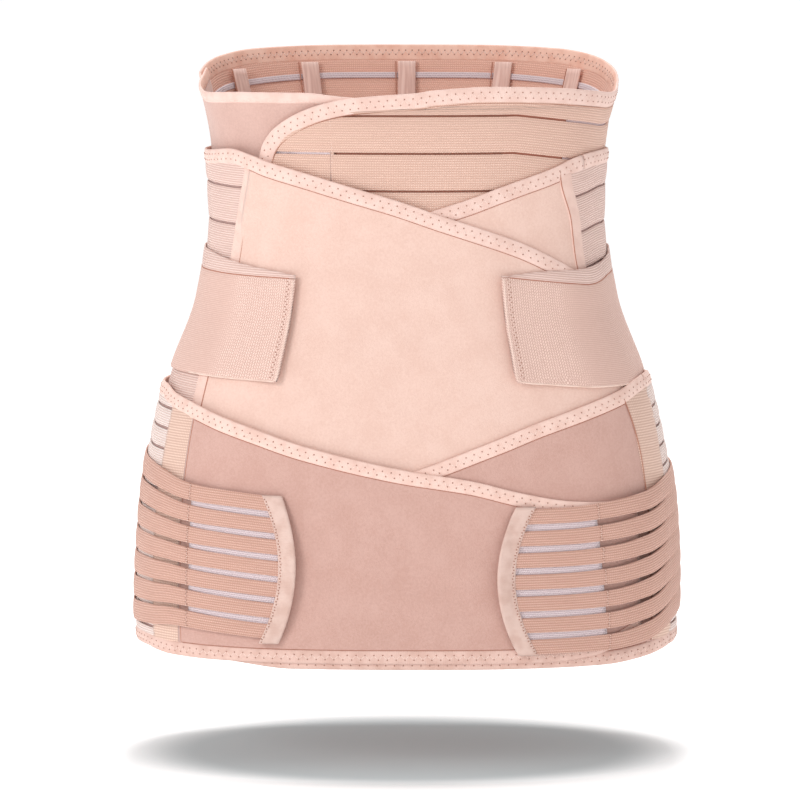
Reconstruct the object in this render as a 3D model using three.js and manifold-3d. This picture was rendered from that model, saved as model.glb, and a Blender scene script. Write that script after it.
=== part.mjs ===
// A three-wrap abdominal binder as it is worn, in millimetres, +Z up, the wearer's front towards -Y.
// The origin is at the centre of the natural waist. A place on the wraps is a bearing in degrees
// (0 front centre, 90 at +X, 180 back centre, -90 at -X), a height z, and a level: how far the
// surface lies outside the form that the innermost elastic follows.

import * as THREE from 'three';
import { mergeVertices } from 'three/addons/utils/BufferGeometryUtils.js';
import Module from 'manifold-3d';

const wasm = await Module();
wasm.setup();

// The form's sizes: widths side to side, and depths from the origin forwards and backwards
const TOP_RISE = 100;
const HIP_DROP = 312;
const TOP_WIDTH = 286;
const WAIST_WIDTH = 253;
const HIP_WIDTH = 342;
const TOP_FRONT = 96;
const WAIST_FRONT = 91;
const HIP_FRONT = 108;
const TOP_BACK = 103;
const WAIST_BACK = 91;
const HIP_BACK = 124;
const ROUNDNESS = 2.5;

// Each row's height is a share of TOP_RISE, or of HIP_DROP below the waist. The other columns say
// how far the row is from the waist's size (0) to the top's or the hip's size (1).
const SECTIONS = [
  { height: 1, width: 1, front: 1, back: 1 },
  { height: 0.366, width: 0.15, front: 0.1, back: 0.25 },
  { height: -0.038, width: 0, front: 0, back: 0 },
  { height: -0.194, width: 0.14, front: 0.24, back: 0.2 },
  { height: -0.35, width: 0.53, front: 0.62, back: 0.6 },
  { height: -0.5, width: 0.79, front: 0.86, back: 0.9 },
  { height: -0.667, width: 0.955, front: 1, back: 1 },
  { height: -0.833, width: 1, front: 1, back: 0.9 },
  { height: -1, width: 0.95, front: 0.94, back: 0.75 },
];

// Bearings of the facets' edges in one quarter of the girth
const QUARTER_BEARINGS = [0, 17, 30, 42, 54, 69, 90];

// Cloth and trim
const CLOTH = 1.0;
const ELASTIC = 1.2;
const MESH = 1.0;
const BINDING = 1.8;
const STRAP = 1.4;
const CASING = 1.6;
const TAB = 2.6;
const SEAM_GAP = 0.3;
const PLY_GAP = 0.4;
const BINDING_WIDTH = 10;
const PELVIS_BINDING_WIDTH = 9;
const FLAP_BINDING_WIDTH = 11;
const CASING_WIDTH = 12;
const SLOT = 2.4;
const FINE_SLOT = 2.2;

// The waist wrap
const WAIST_TOP = 77;
const WAIST_HEIGHT = 138;
const STRIP_PITCH = 24.3;
const WAIST_FIRST_SLOT = 15.9;
const WAIST_STRIPS = 6;
const MESH_BAND_HEIGHT = 4.6;

// The belly wrap
const BELLY_TOP = 38;
const BELLY_HEIGHT = 188;
const BELLY_FIRST_SLOT = 25.7;
const BELLY_SLOTS = 7;
const STRAP_TOP = -43.2;
const STRAP_HEIGHT = 66;
const STRAP_EXTRA = 14.5;

// The pelvis wrap
const PELVIS_TOP = -113;
const PELVIS_HEIGHT = 178;
const PELVIS_PITCH = 13;
const PELVIS_FIRST_SLOT = 17;
const PELVIS_SLOTS = 12;
const FAN_STRIPS = 7;
const FAN_STRIP_HEIGHT = 9.8;
const FAN_SIDE_STRIP_HEIGHT = 10.6;

// Levels of the plies, from the inside out. A ply that crosses another in front lies further out
// there, and comes down to its neighbours' level at the side.
const LEVEL_CASING = -PLY_GAP - MESH - PLY_GAP - CASING;
const LEVEL_BAND = -PLY_GAP - MESH + 0.2;
const LEVEL_UNDER = LEVEL_BAND - PLY_GAP - BINDING;
const LEVEL_WAIST = 0;
const LEVEL_BELLY = LEVEL_WAIST + BINDING + PLY_GAP;
const LEVEL_BELLY_OVER = LEVEL_BELLY + BINDING + PLY_GAP;
const LEVEL_STRAP = LEVEL_BELLY_OVER + BINDING + PLY_GAP;
const LEVEL_STRAP_SIDE = LEVEL_BELLY + BINDING + PLY_GAP;
const LEVEL_PELVIS = LEVEL_STRAP_SIDE + STRAP + PLY_GAP + 0.2;
const LEVEL_PELVIS_OVER = LEVEL_PELVIS + BINDING + PLY_GAP;
const LEVEL_FAN_MESH = LEVEL_PELVIS_OVER + BINDING + PLY_GAP;
const LEVEL_FAN = LEVEL_FAN_MESH + MESH + PLY_GAP;
const LEVEL_FAN_SIDE = LEVEL_PELVIS + BINDING + PLY_GAP;

// A cloth or an elastic lies in the middle of its wrap's level, a binding fills it
const CLOTH_INSET = (BINDING - CLOTH) / 2;
const ELASTIC_INSET = (BINDING - ELASTIC) / 2;

const toRadians = THREE.MathUtils.degToRad;
const lerp = THREE.MathUtils.lerp;

// Lines are lists of [bearing, value], straight between their points and level past their ends
function valueAt(line, bearing) {
  if (typeof line === 'number') return line;
  if (bearing <= line[0][0]) return line[0][1];
  for (let i = 1; i < line.length; i += 1) {
    const [b0, v0] = line[i - 1];
    const [b1, v1] = line[i];
    if (bearing <= b1) return lerp(v0, v1, (bearing - b0) / (b1 - b0));
  }
  return line[line.length - 1][1];
}

function raised(line, amount) {
  if (typeof line === 'number') return line + amount;
  return line.map(([bearing, value]) => [bearing, value + amount]);
}

function turned(line, degrees) {
  return line.map(([bearing, value]) => [bearing + degrees, value]);
}

function levelLine(rows) {
  return rows.map(({ at, level }) => [at, level]);
}

function heightLine(top, height, rows) {
  return rows.map(({ at, down }) => [at, top - down * height]);
}

// The form's rows, as heights with half sizes
const ROWS = SECTIONS.map(({ height, width, front, back }) => {
  const above = height > 0;
  return {
    z: height * (above ? TOP_RISE : HIP_DROP),
    half: lerp(WAIST_WIDTH, above ? TOP_WIDTH : HIP_WIDTH, width) / 2,
    front: lerp(WAIST_FRONT, above ? TOP_FRONT : HIP_FRONT, front),
    back: lerp(WAIST_BACK, above ? TOP_BACK : HIP_BACK, back),
  };
});

function sectionAt(z) {
  let i = 1;
  while (i < ROWS.length - 1 && z < ROWS[i].z) i += 1;
  const upper = ROWS[i - 1];
  const lower = ROWS[i];
  const share = (upper.z - z) / (upper.z - lower.z);
  return {
    half: lerp(upper.half, lower.half, share),
    front: lerp(upper.front, lower.front, share),
    back: lerp(upper.back, lower.back, share),
  };
}

// The girth's outline for half sizes of 1: a rounded box between an ellipse and a rectangle
function outlineAt(bearing) {
  const across = Math.sin(toRadians(bearing));
  const ahead = Math.cos(toRadians(bearing));
  const sum = Math.abs(across) ** ROUNDNESS + Math.abs(ahead) ** ROUNDNESS;
  const reach = sum ** (-1 / ROUNDNESS);
  return [across * reach, ahead * reach];
}

function listColumns() {
  const columns = [];
  for (let quarter = -4; quarter < 4; quarter += 1) {
    for (const turn of QUARTER_BEARINGS) {
      const mirrored = quarter % 2 !== 0;
      columns.push(mirrored ? (quarter + 1) * 90 - turn : quarter * 90 + turn);
    }
  }
  columns.push(360);
  return [...new Set(columns)].sort((a, b) => a - b);
}

const COLUMNS = listColumns();

// A point of the faceted form, where each facet runs from one column and row to the next
function place(bearing, z, level) {
  let i = 1;
  while (i < COLUMNS.length - 1 && bearing > COLUMNS[i]) i += 1;
  const share = (bearing - COLUMNS[i - 1]) / (COLUMNS[i] - COLUMNS[i - 1]);
  const start = outlineAt(COLUMNS[i - 1]);
  const end = outlineAt(COLUMNS[i]);
  const across = lerp(start[0], end[0], share);
  const ahead = lerp(start[1], end[1], share);
  const { half, front, back } = sectionAt(z);
  const depth = (ahead > 0 ? front : back) + level;
  return [across * (half + level), -ahead * depth, z];
}

// Degrees of bearing that a width in millimetres takes at a place
function degreesFor(width, bearing, z) {
  const step = 0.5;
  const a = place(bearing - step, z, LEVEL_BELLY);
  const b = place(bearing + step, z, LEVEL_BELLY);
  return (2 * step * width) / Math.hypot(b[0] - a[0], b[1] - a[1]);
}

// A closed mesh that is collected point by point
class Solid {
  constructor() {
    this.points = [];
    this.faces = [];
    this.known = new Map();
  }

  point(bearing, z, level) {
    const xyz = place(bearing, z, level);
    const key = xyz.map((value) => value.toFixed(4)).join();
    if (!this.known.has(key)) {
      this.known.set(key, this.points.length / 3);
      this.points.push(...xyz);
    }
    return this.known.get(key);
  }

  triangle(a, b, c) {
    if (a !== b && b !== c && c !== a) this.faces.push(a, b, c);
  }

  quad(a, b, c, d) {
    this.triangle(a, b, c);
    this.triangle(a, c, d);
  }

  geometry() {
    const geometry = new THREE.BufferGeometry();
    geometry.setAttribute('position', new THREE.Float32BufferAttribute(this.points, 3));
    geometry.setIndex(this.faces);
    geometry.computeVertexNormals();
    return geometry;
  }
}

function sortedUnique(values) {
  const sorted = [...values].sort((a, b) => a - b);
  return sorted.filter((value, i) => i === 0 || value - sorted[i - 1] > 1e-6);
}

// Bearings where a band's edges bend, meet a column or cross a row of the form
function breakpoints({ from, to, bars, inner, outer }, band) {
  const lines = [inner, outer, band.low, band.high];
  const knots = lines.filter(Array.isArray).flatMap((line) => line.map(([bearing]) => bearing));
  const ends = bars.flatMap((bar) => [bar.from, bar.to]);
  const inside = [...knots, ...ends, ...COLUMNS].filter((b) => b > from + 1e-6 && b < to - 1e-6);
  const coarse = sortedUnique([from, to, ...inside]);
  const crossings = [];
  for (const line of [band.low, band.high]) {
    for (let i = 1; i < coarse.length; i += 1) {
      const z0 = valueAt(line, coarse[i - 1]);
      const z1 = valueAt(line, coarse[i]);
      for (const { z } of ROWS) {
        const share = (z - z0) / (z1 - z0);
        if (share > 1e-3 && share < 1 - 1e-3) {
          crossings.push(lerp(coarse[i - 1], coarse[i], share));
        }
      }
    }
  }
  return sortedUnique([...coarse, ...crossings]);
}

// Heights of a band's edges and of the form's rows inside it, on one side of a facet
function bandLevels(band, bearing, middle) {
  const low = valueAt(band.low, bearing);
  const high = valueAt(band.high, bearing);
  const lowest = valueAt(band.low, middle);
  const highest = valueAt(band.high, middle);
  const rows = ROWS.map(({ z }) => z).filter((z) => z > lowest + 1e-4 && z < highest - 1e-4);
  const inside = rows.sort((a, b) => a - b).map((z) => Math.min(Math.max(z, low), high));
  return [low, ...inside, high];
}

// A sheet that follows the form between two bearings, as bands stacked from low to high. A band
// marked open is a slot, crossed only by the sheet's bars.
function sheet({ from, to, bands, bars = [], inner, outer }) {
  const solid = new Solid();
  const barAt = (b) => bars.some((bar) => b > bar.from - 1e-6 && b < bar.to + 1e-6);
  const filled = (b, k) => {
    if (b < from || b > to || k < 0 || k >= bands.length) return false;
    return !bands[k].open || barAt(b);
  };
  const own = bands.map((band) => breakpoints({ from, to, bars, inner, outer }, band));
  const shared = own.flat().filter(barAt);
  bands.forEach((band, k) => {
    const stops = sortedUnique([...own[k], ...shared]);
    const middles = stops.slice(1).map((stop, i) => (stop + stops[i]) / 2);
    middles.forEach((middle, cell) => {
      if (!filled(middle, k)) return;
      const [a, b] = [stops[cell], stops[cell + 1]];
      const left = bandLevels(band, a, middle);
      const right = bandLevels(band, b, middle);
      const outLeft = left.map((z) => solid.point(a, z, valueAt(outer, a)));
      const outRight = right.map((z) => solid.point(b, z, valueAt(outer, b)));
      const inLeft = left.map((z) => solid.point(a, z, valueAt(inner, a)));
      const inRight = right.map((z) => solid.point(b, z, valueAt(inner, b)));
      const last = left.length - 1;
      const startsHere = cell === 0 || !filled(middles[cell - 1], k);
      const endsHere = cell === middles.length - 1 || !filled(middles[cell + 1], k);
      for (let i = 0; i < last; i += 1) {
        solid.quad(outLeft[i], outRight[i], outRight[i + 1], outLeft[i + 1]);
        solid.quad(inLeft[i], inLeft[i + 1], inRight[i + 1], inRight[i]);
        if (startsHere) solid.quad(outLeft[i], outLeft[i + 1], inLeft[i + 1], inLeft[i]);
        if (endsHere) solid.quad(outRight[i + 1], outRight[i], inRight[i], inRight[i + 1]);
      }
      if (!filled(middle, k - 1)) solid.quad(outRight[0], outLeft[0], inLeft[0], inRight[0]);
      if (!filled(middle, k + 1)) {
        solid.quad(outLeft[last], outRight[last], inRight[last], inLeft[last]);
      }
    });
  });
  return solid.geometry();
}

// A plain sheet between two lines
function ply({ from, to, low, high, inner, thick }) {
  return sheet({ from, to, bands: [{ low, high }], inner, outer: raised(inner, thick) });
}

// An upright piece, narrow across, whose two edges are given at a few heights
function upright({ edges, inner, thick }) {
  const solid = new Solid();
  const heights = edges.map(({ z }) => z);
  const rows = ROWS.map(({ z }) => z).filter((z) => z < heights[0] && z > heights[heights.length - 1]);
  const stops = sortedUnique([...heights, ...rows]);
  const byHeight = [...edges].reverse();
  const left = byHeight.map(({ z, from }) => [z, from]);
  const right = byHeight.map(({ z, to }) => [z, to]);
  const rings = stops.map((z) => {
    const a = valueAt(left, z);
    const b = valueAt(right, z);
    const [inA, inB] = [valueAt(inner, a), valueAt(inner, b)];
    return [
      solid.point(a, z, inA + thick),
      solid.point(b, z, inB + thick),
      solid.point(b, z, inB),
      solid.point(a, z, inA),
    ];
  });
  for (let i = 1; i < rings.length; i += 1) {
    for (let side = 0; side < 4; side += 1) {
      const next = (side + 1) % 4;
      solid.quad(rings[i - 1][side], rings[i - 1][next], rings[i][next], rings[i][side]);
    }
  }
  const base = rings[0];
  const top = rings[rings.length - 1];
  solid.quad(base[3], base[2], base[1], base[0]);
  solid.quad(top[0], top[1], top[2], top[3]);
  return solid.geometry();
}

// The part of a closed mesh that lies inside another
function inside(geometry, region) {
  const [body, window] = [geometry, region].map((source) => {
    const bare = source.clone();
    bare.deleteAttribute('normal');
    const merged = mergeVertices(bare, 1e-4);
    return new wasm.Manifold(new wasm.Mesh({
      numProp: 3,
      vertProperties: new Float32Array(merged.attributes.position.array),
      triVerts: new Uint32Array(merged.index.array),
    }));
  });
  const mesh = body.intersect(window).getMesh();
  const result = new THREE.BufferGeometry();
  result.setAttribute('position', new THREE.Float32BufferAttribute(mesh.vertProperties, 3));
  result.setIndex(Array.from(mesh.triVerts));
  result.computeVertexNormals();
  return result;
}

// Strips with slots between them, stacked from low to high
function stripBands({ top, bottom, firstSlot, pitch, count, slot }) {
  const bands = [];
  let high = top;
  for (let i = 0; i < count; i += 1) {
    const middle = raised(firstSlot, -i * pitch);
    bands.push({ low: raised(middle, slot / 2), high });
    bands.push({ low: raised(middle, -slot / 2), high: raised(middle, slot / 2), open: true });
    high = raised(middle, -slot / 2);
  }
  bands.push({ low: bottom, high });
  return bands.reverse();
}

const binder = new THREE.Group();

function add(name, geometry, material) {
  const mesh = new THREE.Mesh(geometry, material);
  mesh.name = name;
  binder.add(mesh);
}

function cloth(color, roughness) {
  return new THREE.MeshStandardMaterial({ color, roughness, metalness: 0 });
}

const MATERIALS = {
  bellyVelour: cloth(0xf3cfba, 0.95),
  pelvisVelour: cloth(0xd9aa98, 0.95),
  waistVelour: cloth(0xe3b9a6, 0.95),
  binding: cloth(0xf0ccb8, 0.8),
  elastic: cloth(0xe9c0a4, 0.85),
  pelvisElastic: cloth(0xdbab8e, 0.85),
  strap: cloth(0xebc4ad, 0.85),
  mesh: cloth(0xcdbcc2, 0.9),
  casing: cloth(0xc9a79b, 0.6),
};

// The waist wrap's edges. Down is a share of WAIST_HEIGHT below WAIST_TOP.
const waistLine = (rows) => heightLine(WAIST_TOP, WAIST_HEIGHT, rows);
const WAIST_WRAP_TOP = waistLine([
  { at: -43.4, down: 0.345 },
  { at: -42, down: 0.29 },
  { at: -37, down: 0.18 },
  { at: -30, down: 0.097 },
  { at: -24, down: 0.052 },
  { at: -17, down: 0.028 },
  { at: 0, down: 0.012 },
  { at: 17, down: -0.014 },
  { at: 30, down: -0.018 },
  { at: 54, down: 0.008 },
  { at: 69, down: 0.025 },
  { at: 90, down: -0.005 },
  { at: 111, down: -0.07 },
  { at: 126, down: -0.115 },
  { at: 138, down: -0.14 },
  { at: 163, down: -0.152 },
  { at: 197, down: -0.152 },
  { at: 222, down: -0.14 },
  { at: 234, down: -0.115 },
  { at: 249, down: -0.07 },
  { at: 270, down: 0 },
]);
const WAIST_UNDER_TOP = waistLine([
  { at: -111, down: -0.07 },
  { at: -90, down: 0 },
  { at: -69, down: 0.025 },
  { at: -42, down: 0.013 },
  { at: -30, down: 0.012 },
  { at: -17, down: 0.04 },
  { at: 17, down: 0.07 },
]);

// How the wrap's strips and lower edge rise and fall round the girth, as shares of its height
const WAIST_DRIFT = [
  { at: 30, down: 0 },
  { at: 54, down: 0.045 },
  { at: 69, down: 0.065 },
  { at: 90, down: 0.045 },
  { at: 126, down: -0.08 },
  { at: 163, down: -0.12 },
  { at: 197, down: -0.12 },
  { at: 234, down: -0.08 },
  { at: 256, down: 0 },
];
const FLAP_BEARING = -43.4;
const WRAP_END_BEARING = 256;
const UNDER_START_BEARING = -110;
const UNDER_END_BEARING = 20;
const OPEN_SLOT_BEARINGS = { from: -19.8, to: 30 };
const SEAM_WIDTH = 3;
const CASING_BEARINGS = [130, 153, 180, 207, 230];

// The inner edge of the flap's binding, which runs up the flap's end, round its corner and along
function flapInnerEdge(turn) {
  const curve = WAIST_WRAP_TOP.filter(([bearing]) => bearing > turn + 1);
  const slant = (bearing) => lerp(1.5, 1, Math.min(1, (bearing - turn) / 22));
  const lowered = curve.map(([bearing, z]) => [bearing, z - slant(bearing) * FLAP_BINDING_WIDTH]);
  const corner = valueAt(WAIST_WRAP_TOP, turn) - 1.65 * FLAP_BINDING_WIDTH;
  return [[turn, corner], ...lowered];
}

function buildWaistWrap() {
  const drift = (z) => heightLine(z, WAIST_HEIGHT, WAIST_DRIFT);
  const bottom = drift(WAIST_TOP - WAIST_HEIGHT);
  const firstSlot = drift(WAIST_TOP - WAIST_FIRST_SLOT);
  const turn = FLAP_BEARING + degreesFor(FLAP_BINDING_WIDTH, FLAP_BEARING, 0);
  const start = turn + degreesFor(SEAM_GAP, turn, 0);
  const innerEdge = flapInnerEdge(turn);
  const elasticTop = raised(innerEdge, -SEAM_GAP);
  const elasticBottom = raised(bottom, BINDING_WIDTH + SEAM_GAP);
  add('waist_binding_wrap', ply({
    from: FLAP_BEARING,
    to: WRAP_END_BEARING,
    low: [[turn - 0.1, valueAt(bottom, turn)], ...innerEdge],
    high: WAIST_WRAP_TOP,
    inner: LEVEL_WAIST,
    thick: BINDING,
  }), MATERIALS.binding);
  add('waist_binding_bottom', ply({
    from: start,
    to: WRAP_END_BEARING,
    low: bottom,
    high: raised(bottom, BINDING_WIDTH),
    inner: LEVEL_WAIST,
    thick: BINDING,
  }), MATERIALS.binding);

  const seam = degreesFor(SEAM_WIDTH, 0, 0);
  const strips = sheet({
    from: start,
    to: WRAP_END_BEARING,
    bands: stripBands({
      top: raised(firstSlot, STRIP_PITCH),
      bottom: elasticBottom,
      firstSlot,
      pitch: STRIP_PITCH,
      count: WAIST_STRIPS - 1,
      slot: SLOT,
    }),
    bars: [
      { from: start, to: start + seam },
      { from: OPEN_SLOT_BEARINGS.from - seam, to: OPEN_SLOT_BEARINGS.from },
      { from: WRAP_END_BEARING - seam, to: WRAP_END_BEARING },
    ],
    inner: LEVEL_WAIST + ELASTIC_INSET,
    outer: LEVEL_WAIST + ELASTIC_INSET + ELASTIC,
  });
  const outline = ply({
    from: start - seam,
    to: WRAP_END_BEARING + seam,
    low: raised(elasticBottom, -BINDING_WIDTH),
    high: elasticTop,
    inner: LEVEL_WAIST - BINDING,
    thick: 3 * BINDING,
  });
  add('waist_elastic', inside(strips, outline), MATERIALS.elastic);

  for (let i = 0; i < WAIST_STRIPS - 1; i += 1) {
    const middle = raised(firstSlot, -i * STRIP_PITCH);
    add(`waist_mesh_${i + 1}`, ply({
      from: OPEN_SLOT_BEARINGS.to,
      to: WRAP_END_BEARING - seam,
      low: raised(middle, -MESH_BAND_HEIGHT / 2),
      high: raised(middle, MESH_BAND_HEIGHT / 2),
      inner: LEVEL_BAND,
      thick: MESH,
    }), MATERIALS.mesh);
  }
  add('waist_mesh_end', ply({
    from: start,
    to: OPEN_SLOT_BEARINGS.from,
    low: elasticBottom,
    high: elasticTop,
    inner: LEVEL_BAND,
    thick: MESH,
  }), MATERIALS.mesh);

  const velourTop = raised(WAIST_UNDER_TOP, -BINDING_WIDTH);
  add('waist_binding_under', ply({
    from: UNDER_START_BEARING,
    to: UNDER_END_BEARING,
    low: velourTop,
    high: WAIST_UNDER_TOP,
    inner: LEVEL_UNDER,
    thick: BINDING,
  }), MATERIALS.binding);
  add('waist_velour_end', ply({
    from: UNDER_START_BEARING,
    to: UNDER_END_BEARING,
    low: WAIST_TOP - WAIST_HEIGHT,
    high: raised(velourTop, -SEAM_GAP),
    inner: LEVEL_UNDER + CLOTH_INSET,
    thick: CLOTH,
  }), MATERIALS.waistVelour);

  CASING_BEARINGS.forEach((bearing, i) => {
    const half = degreesFor(CASING_WIDTH, bearing, WAIST_TOP) / 2;
    const top = valueAt(WAIST_WRAP_TOP, bearing) - BINDING_WIDTH - SEAM_GAP;
    const low = valueAt(bottom, bearing) + BINDING_WIDTH + SEAM_GAP;
    const edge = (z) => ({ z, from: bearing - half, to: bearing + half });
    add(`waist_casing_${i + 1}`, upright({
      edges: [edge(top), edge(low)],
      inner: LEVEL_CASING,
      thick: CASING,
    }), MATERIALS.casing);
  });
}

// The belly wrap's edges. Down is a share of BELLY_HEIGHT below BELLY_TOP.
const bellyLine = (rows) => heightLine(BELLY_TOP, BELLY_HEIGHT, rows);
const BELLY_OVER_TOP = bellyLine([
  { at: -54, down: 0 },
  { at: -42, down: 0.026 },
  { at: -30, down: 0.069 },
  { at: -17, down: 0.113 },
  { at: 0, down: 0.178 },
  { at: 17, down: 0.254 },
  { at: 30, down: 0.311 },
  { at: 42, down: 0.385 },
  { at: 49, down: 0.42 },
]);
const BELLY_UNDER_TOP = bellyLine([
  { at: -42, down: 0.44 },
  { at: -17, down: 0.318 },
  { at: 0, down: 0.238 },
  { at: 17, down: 0.168 },
  { at: 30, down: 0.108 },
  { at: 42, down: 0.055 },
  { at: 54, down: 0.018 },
  { at: 69, down: 0 },
]);
const BELLY_BOTTOM = bellyLine([
  { at: -54, down: 1 },
  { at: -42, down: 1.08 },
  { at: -17, down: 1.18 },
  { at: 17, down: 1.18 },
  { at: 42, down: 1.08 },
  { at: 54, down: 1 },
]);
const BELLY_OVER_BEARING = 49;
const BELLY_UNDER_BEARING = -41;
const BELLY_TAPE_BEARINGS = { from: 49.8, to: 54.2 };
const STRAP_LEFT_BEARINGS = { from: -125, to: -29.3 };
const STRAP_RIGHT_BEARINGS = { from: 24.5, to: 125 };

// The straps' lower strip sinks by a share of STRAP_HEIGHT, and the upper strip grows by a share
// of STRAP_EXTRA, as they leave the tabs
const STRAP_SINK_RIGHT = [
  { at: 26, down: 0 },
  { at: 42, down: 0.07 },
  { at: 54, down: 0.095 },
  { at: 69, down: 0.04 },
  { at: 90, down: 0 },
];
const STRAP_GROW_LEFT = [
  { at: -90, down: -1 },
  { at: -69, down: -0.93 },
  { at: -54, down: -0.68 },
  { at: -30, down: -0.08 },
];
const STRAP_GROW_RIGHT = [
  { at: 27, down: -0.08 },
  { at: 42, down: -0.48 },
  { at: 54, down: -0.76 },
  { at: 69, down: -0.9 },
  { at: 90, down: -1 },
];

// A panel that crosses another in front comes down to its level at the left side
const overLevel = (high, low) => levelLine([{ at: -54, level: low }, { at: -42, level: high }]);

function buildStraps() {
  const left = levelLine([
    { at: -69, level: LEVEL_STRAP_SIDE },
    { at: -54, level: LEVEL_STRAP_SIDE + PLY_GAP },
    { at: -42, level: LEVEL_STRAP },
  ]);
  const right = levelLine([
    { at: 54, level: LEVEL_STRAP },
    { at: 69, level: LEVEL_STRAP_SIDE },
  ]);
  const sinkRight = heightLine(STRAP_TOP, STRAP_HEIGHT, STRAP_SINK_RIGHT);
  const straps = [
    { side: 'left', span: STRAP_LEFT_BEARINGS, top: [[0, STRAP_TOP]], grow: STRAP_GROW_LEFT, inner: left },
    { side: 'right', span: STRAP_RIGHT_BEARINGS, top: sinkRight, grow: STRAP_GROW_RIGHT, inner: right },
  ];
  for (const { side, span, top, grow, inner } of straps) {
    const rise = heightLine(0, STRAP_EXTRA, grow);
    const bearings = sortedUnique([...top, ...rise].map(([bearing]) => bearing));
    const upper = bearings.map((b) => [b, valueAt(top, b) + SEAM_GAP + valueAt(rise, b)]);
    add(`belly_strap_wide_${side}`, ply({
      ...span,
      low: raised(top, -STRAP_HEIGHT),
      high: top,
      inner,
      thick: STRAP,
    }), MATERIALS.strap);
    add(`belly_strap_narrow_${side}`, ply({
      ...span,
      low: raised(top, SEAM_GAP),
      high: upper,
      inner,
      thick: ELASTIC,
    }), MATERIALS.strap);
  }
}

// The belly wrap: two crossing velour panels, slotted elastic from side to side round the back,
// a tape at each side seam, and two pairs of straps
function buildBellyWrap() {
  const over = overLevel(LEVEL_BELLY_OVER, LEVEL_BELLY);
  const seamGap = degreesFor(SEAM_GAP, BELLY_TAPE_BEARINGS.from, BELLY_TOP);
  const panelEnd = BELLY_TAPE_BEARINGS.from - seamGap;
  const back = { from: BELLY_TAPE_BEARINGS.to + seamGap, to: 360 - BELLY_TAPE_BEARINGS.to - seamGap };
  const low = BELLY_TOP - BELLY_HEIGHT;
  const bar = degreesFor(SEAM_WIDTH, back.from, BELLY_TOP);
  add('belly_binding_over', ply({
    from: back.from - 360,
    to: BELLY_OVER_BEARING,
    low: raised(BELLY_OVER_TOP, -BINDING_WIDTH),
    high: BELLY_OVER_TOP,
    inner: over,
    thick: BINDING,
  }), MATERIALS.binding);
  add('belly_binding_under', ply({
    from: BELLY_UNDER_BEARING,
    to: BELLY_TAPE_BEARINGS.to,
    low: raised(BELLY_UNDER_TOP, -BINDING_WIDTH),
    high: BELLY_UNDER_TOP,
    inner: LEVEL_BELLY,
    thick: BINDING,
  }), MATERIALS.binding);
  add('belly_panel_over', ply({
    from: -panelEnd,
    to: BELLY_OVER_BEARING,
    low: BELLY_BOTTOM,
    high: raised(BELLY_OVER_TOP, -BINDING_WIDTH - SEAM_GAP),
    inner: raised(over, CLOTH_INSET),
    thick: CLOTH,
  }), MATERIALS.bellyVelour);
  add('belly_panel_under', ply({
    from: BELLY_UNDER_BEARING,
    to: panelEnd,
    low: BELLY_BOTTOM,
    high: raised(BELLY_UNDER_TOP, -BINDING_WIDTH - SEAM_GAP),
    inner: LEVEL_BELLY + CLOTH_INSET,
    thick: CLOTH,
  }), MATERIALS.bellyVelour);
  add('belly_elastic', sheet({
    ...back,
    bands: stripBands({
      top: BELLY_TOP - BINDING_WIDTH - SEAM_GAP,
      bottom: low + BINDING_WIDTH + SEAM_GAP,
      firstSlot: BELLY_TOP - BELLY_FIRST_SLOT,
      pitch: STRIP_PITCH,
      count: BELLY_SLOTS,
      slot: SLOT,
    }),
    bars: [{ from: back.from, to: back.from + bar }, { from: back.to - bar, to: back.to }],
    inner: LEVEL_BELLY + ELASTIC_INSET,
    outer: LEVEL_BELLY + ELASTIC_INSET + ELASTIC,
  }), MATERIALS.elastic);
  add('belly_binding_bottom', ply({
    ...back,
    low,
    high: low + BINDING_WIDTH,
    inner: LEVEL_BELLY,
    thick: BINDING,
  }), MATERIALS.binding);
  const tapes = [
    { name: 'belly_tape_left', from: -BELLY_TAPE_BEARINGS.to, to: -BELLY_TAPE_BEARINGS.from, top: BELLY_OVER_TOP },
    { name: 'belly_tape_right', ...BELLY_TAPE_BEARINGS, top: BELLY_UNDER_TOP },
  ];
  for (const { name, from, to, top } of tapes) {
    const high = Math.min(valueAt(top, from), valueAt(top, to)) - BINDING_WIDTH - SEAM_GAP;
    add(name, upright({
      edges: [{ z: high, from, to }, { z: low, from, to }],
      inner: LEVEL_BELLY,
      thick: BINDING,
    }), MATERIALS.elastic);
  }
  buildStraps();
}

// The pelvis wrap's edges. Down is a share of PELVIS_HEIGHT below PELVIS_TOP.
const pelvisLine = (rows) => heightLine(PELVIS_TOP, PELVIS_HEIGHT, rows);
const PELVIS_OVER_TOP = pelvisLine([
  { at: -90, down: 0 },
  { at: -69, down: 0.022 },
  { at: -54, down: 0.072 },
  { at: -42, down: 0.112 },
  { at: -30, down: 0.17 },
  { at: -17, down: 0.236 },
  { at: 0, down: 0.294 },
  { at: 17, down: 0.345 },
  { at: 30, down: 0.405 },
  { at: 42, down: 0.422 },
]);
const PELVIS_UNDER_TOP = pelvisLine([
  { at: -42, down: 0.525 },
  { at: -17, down: 0.4 },
  { at: 0, down: 0.31 },
  { at: 17, down: 0.203 },
  { at: 30, down: 0.131 },
  { at: 42, down: 0.073 },
  { at: 54, down: 0.03 },
  { at: 69, down: 0.005 },
  { at: 90, down: 0 },
]);
const PELVIS_OVER_BOTTOM = pelvisLine([
  { at: -69, down: 0.985 },
  { at: -54, down: 1 },
]);
const PELVIS_UNDER_BOTTOM = pelvisLine([
  { at: -42, down: 1.022 },
  { at: 42, down: 1.022 },
  { at: 54, down: 1.01 },
  { at: 69, down: 0.985 },
]);
const PELVIS_OVER_BEARING = 52;
const PELVIS_UNDER_BEARING = -41;
const PELVIS_TAPE_LEFT_BEARINGS = { from: -62, to: -51 };
const PELVIS_TAPE_RIGHT_BEARINGS = { from: 57, to: 68 };

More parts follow.
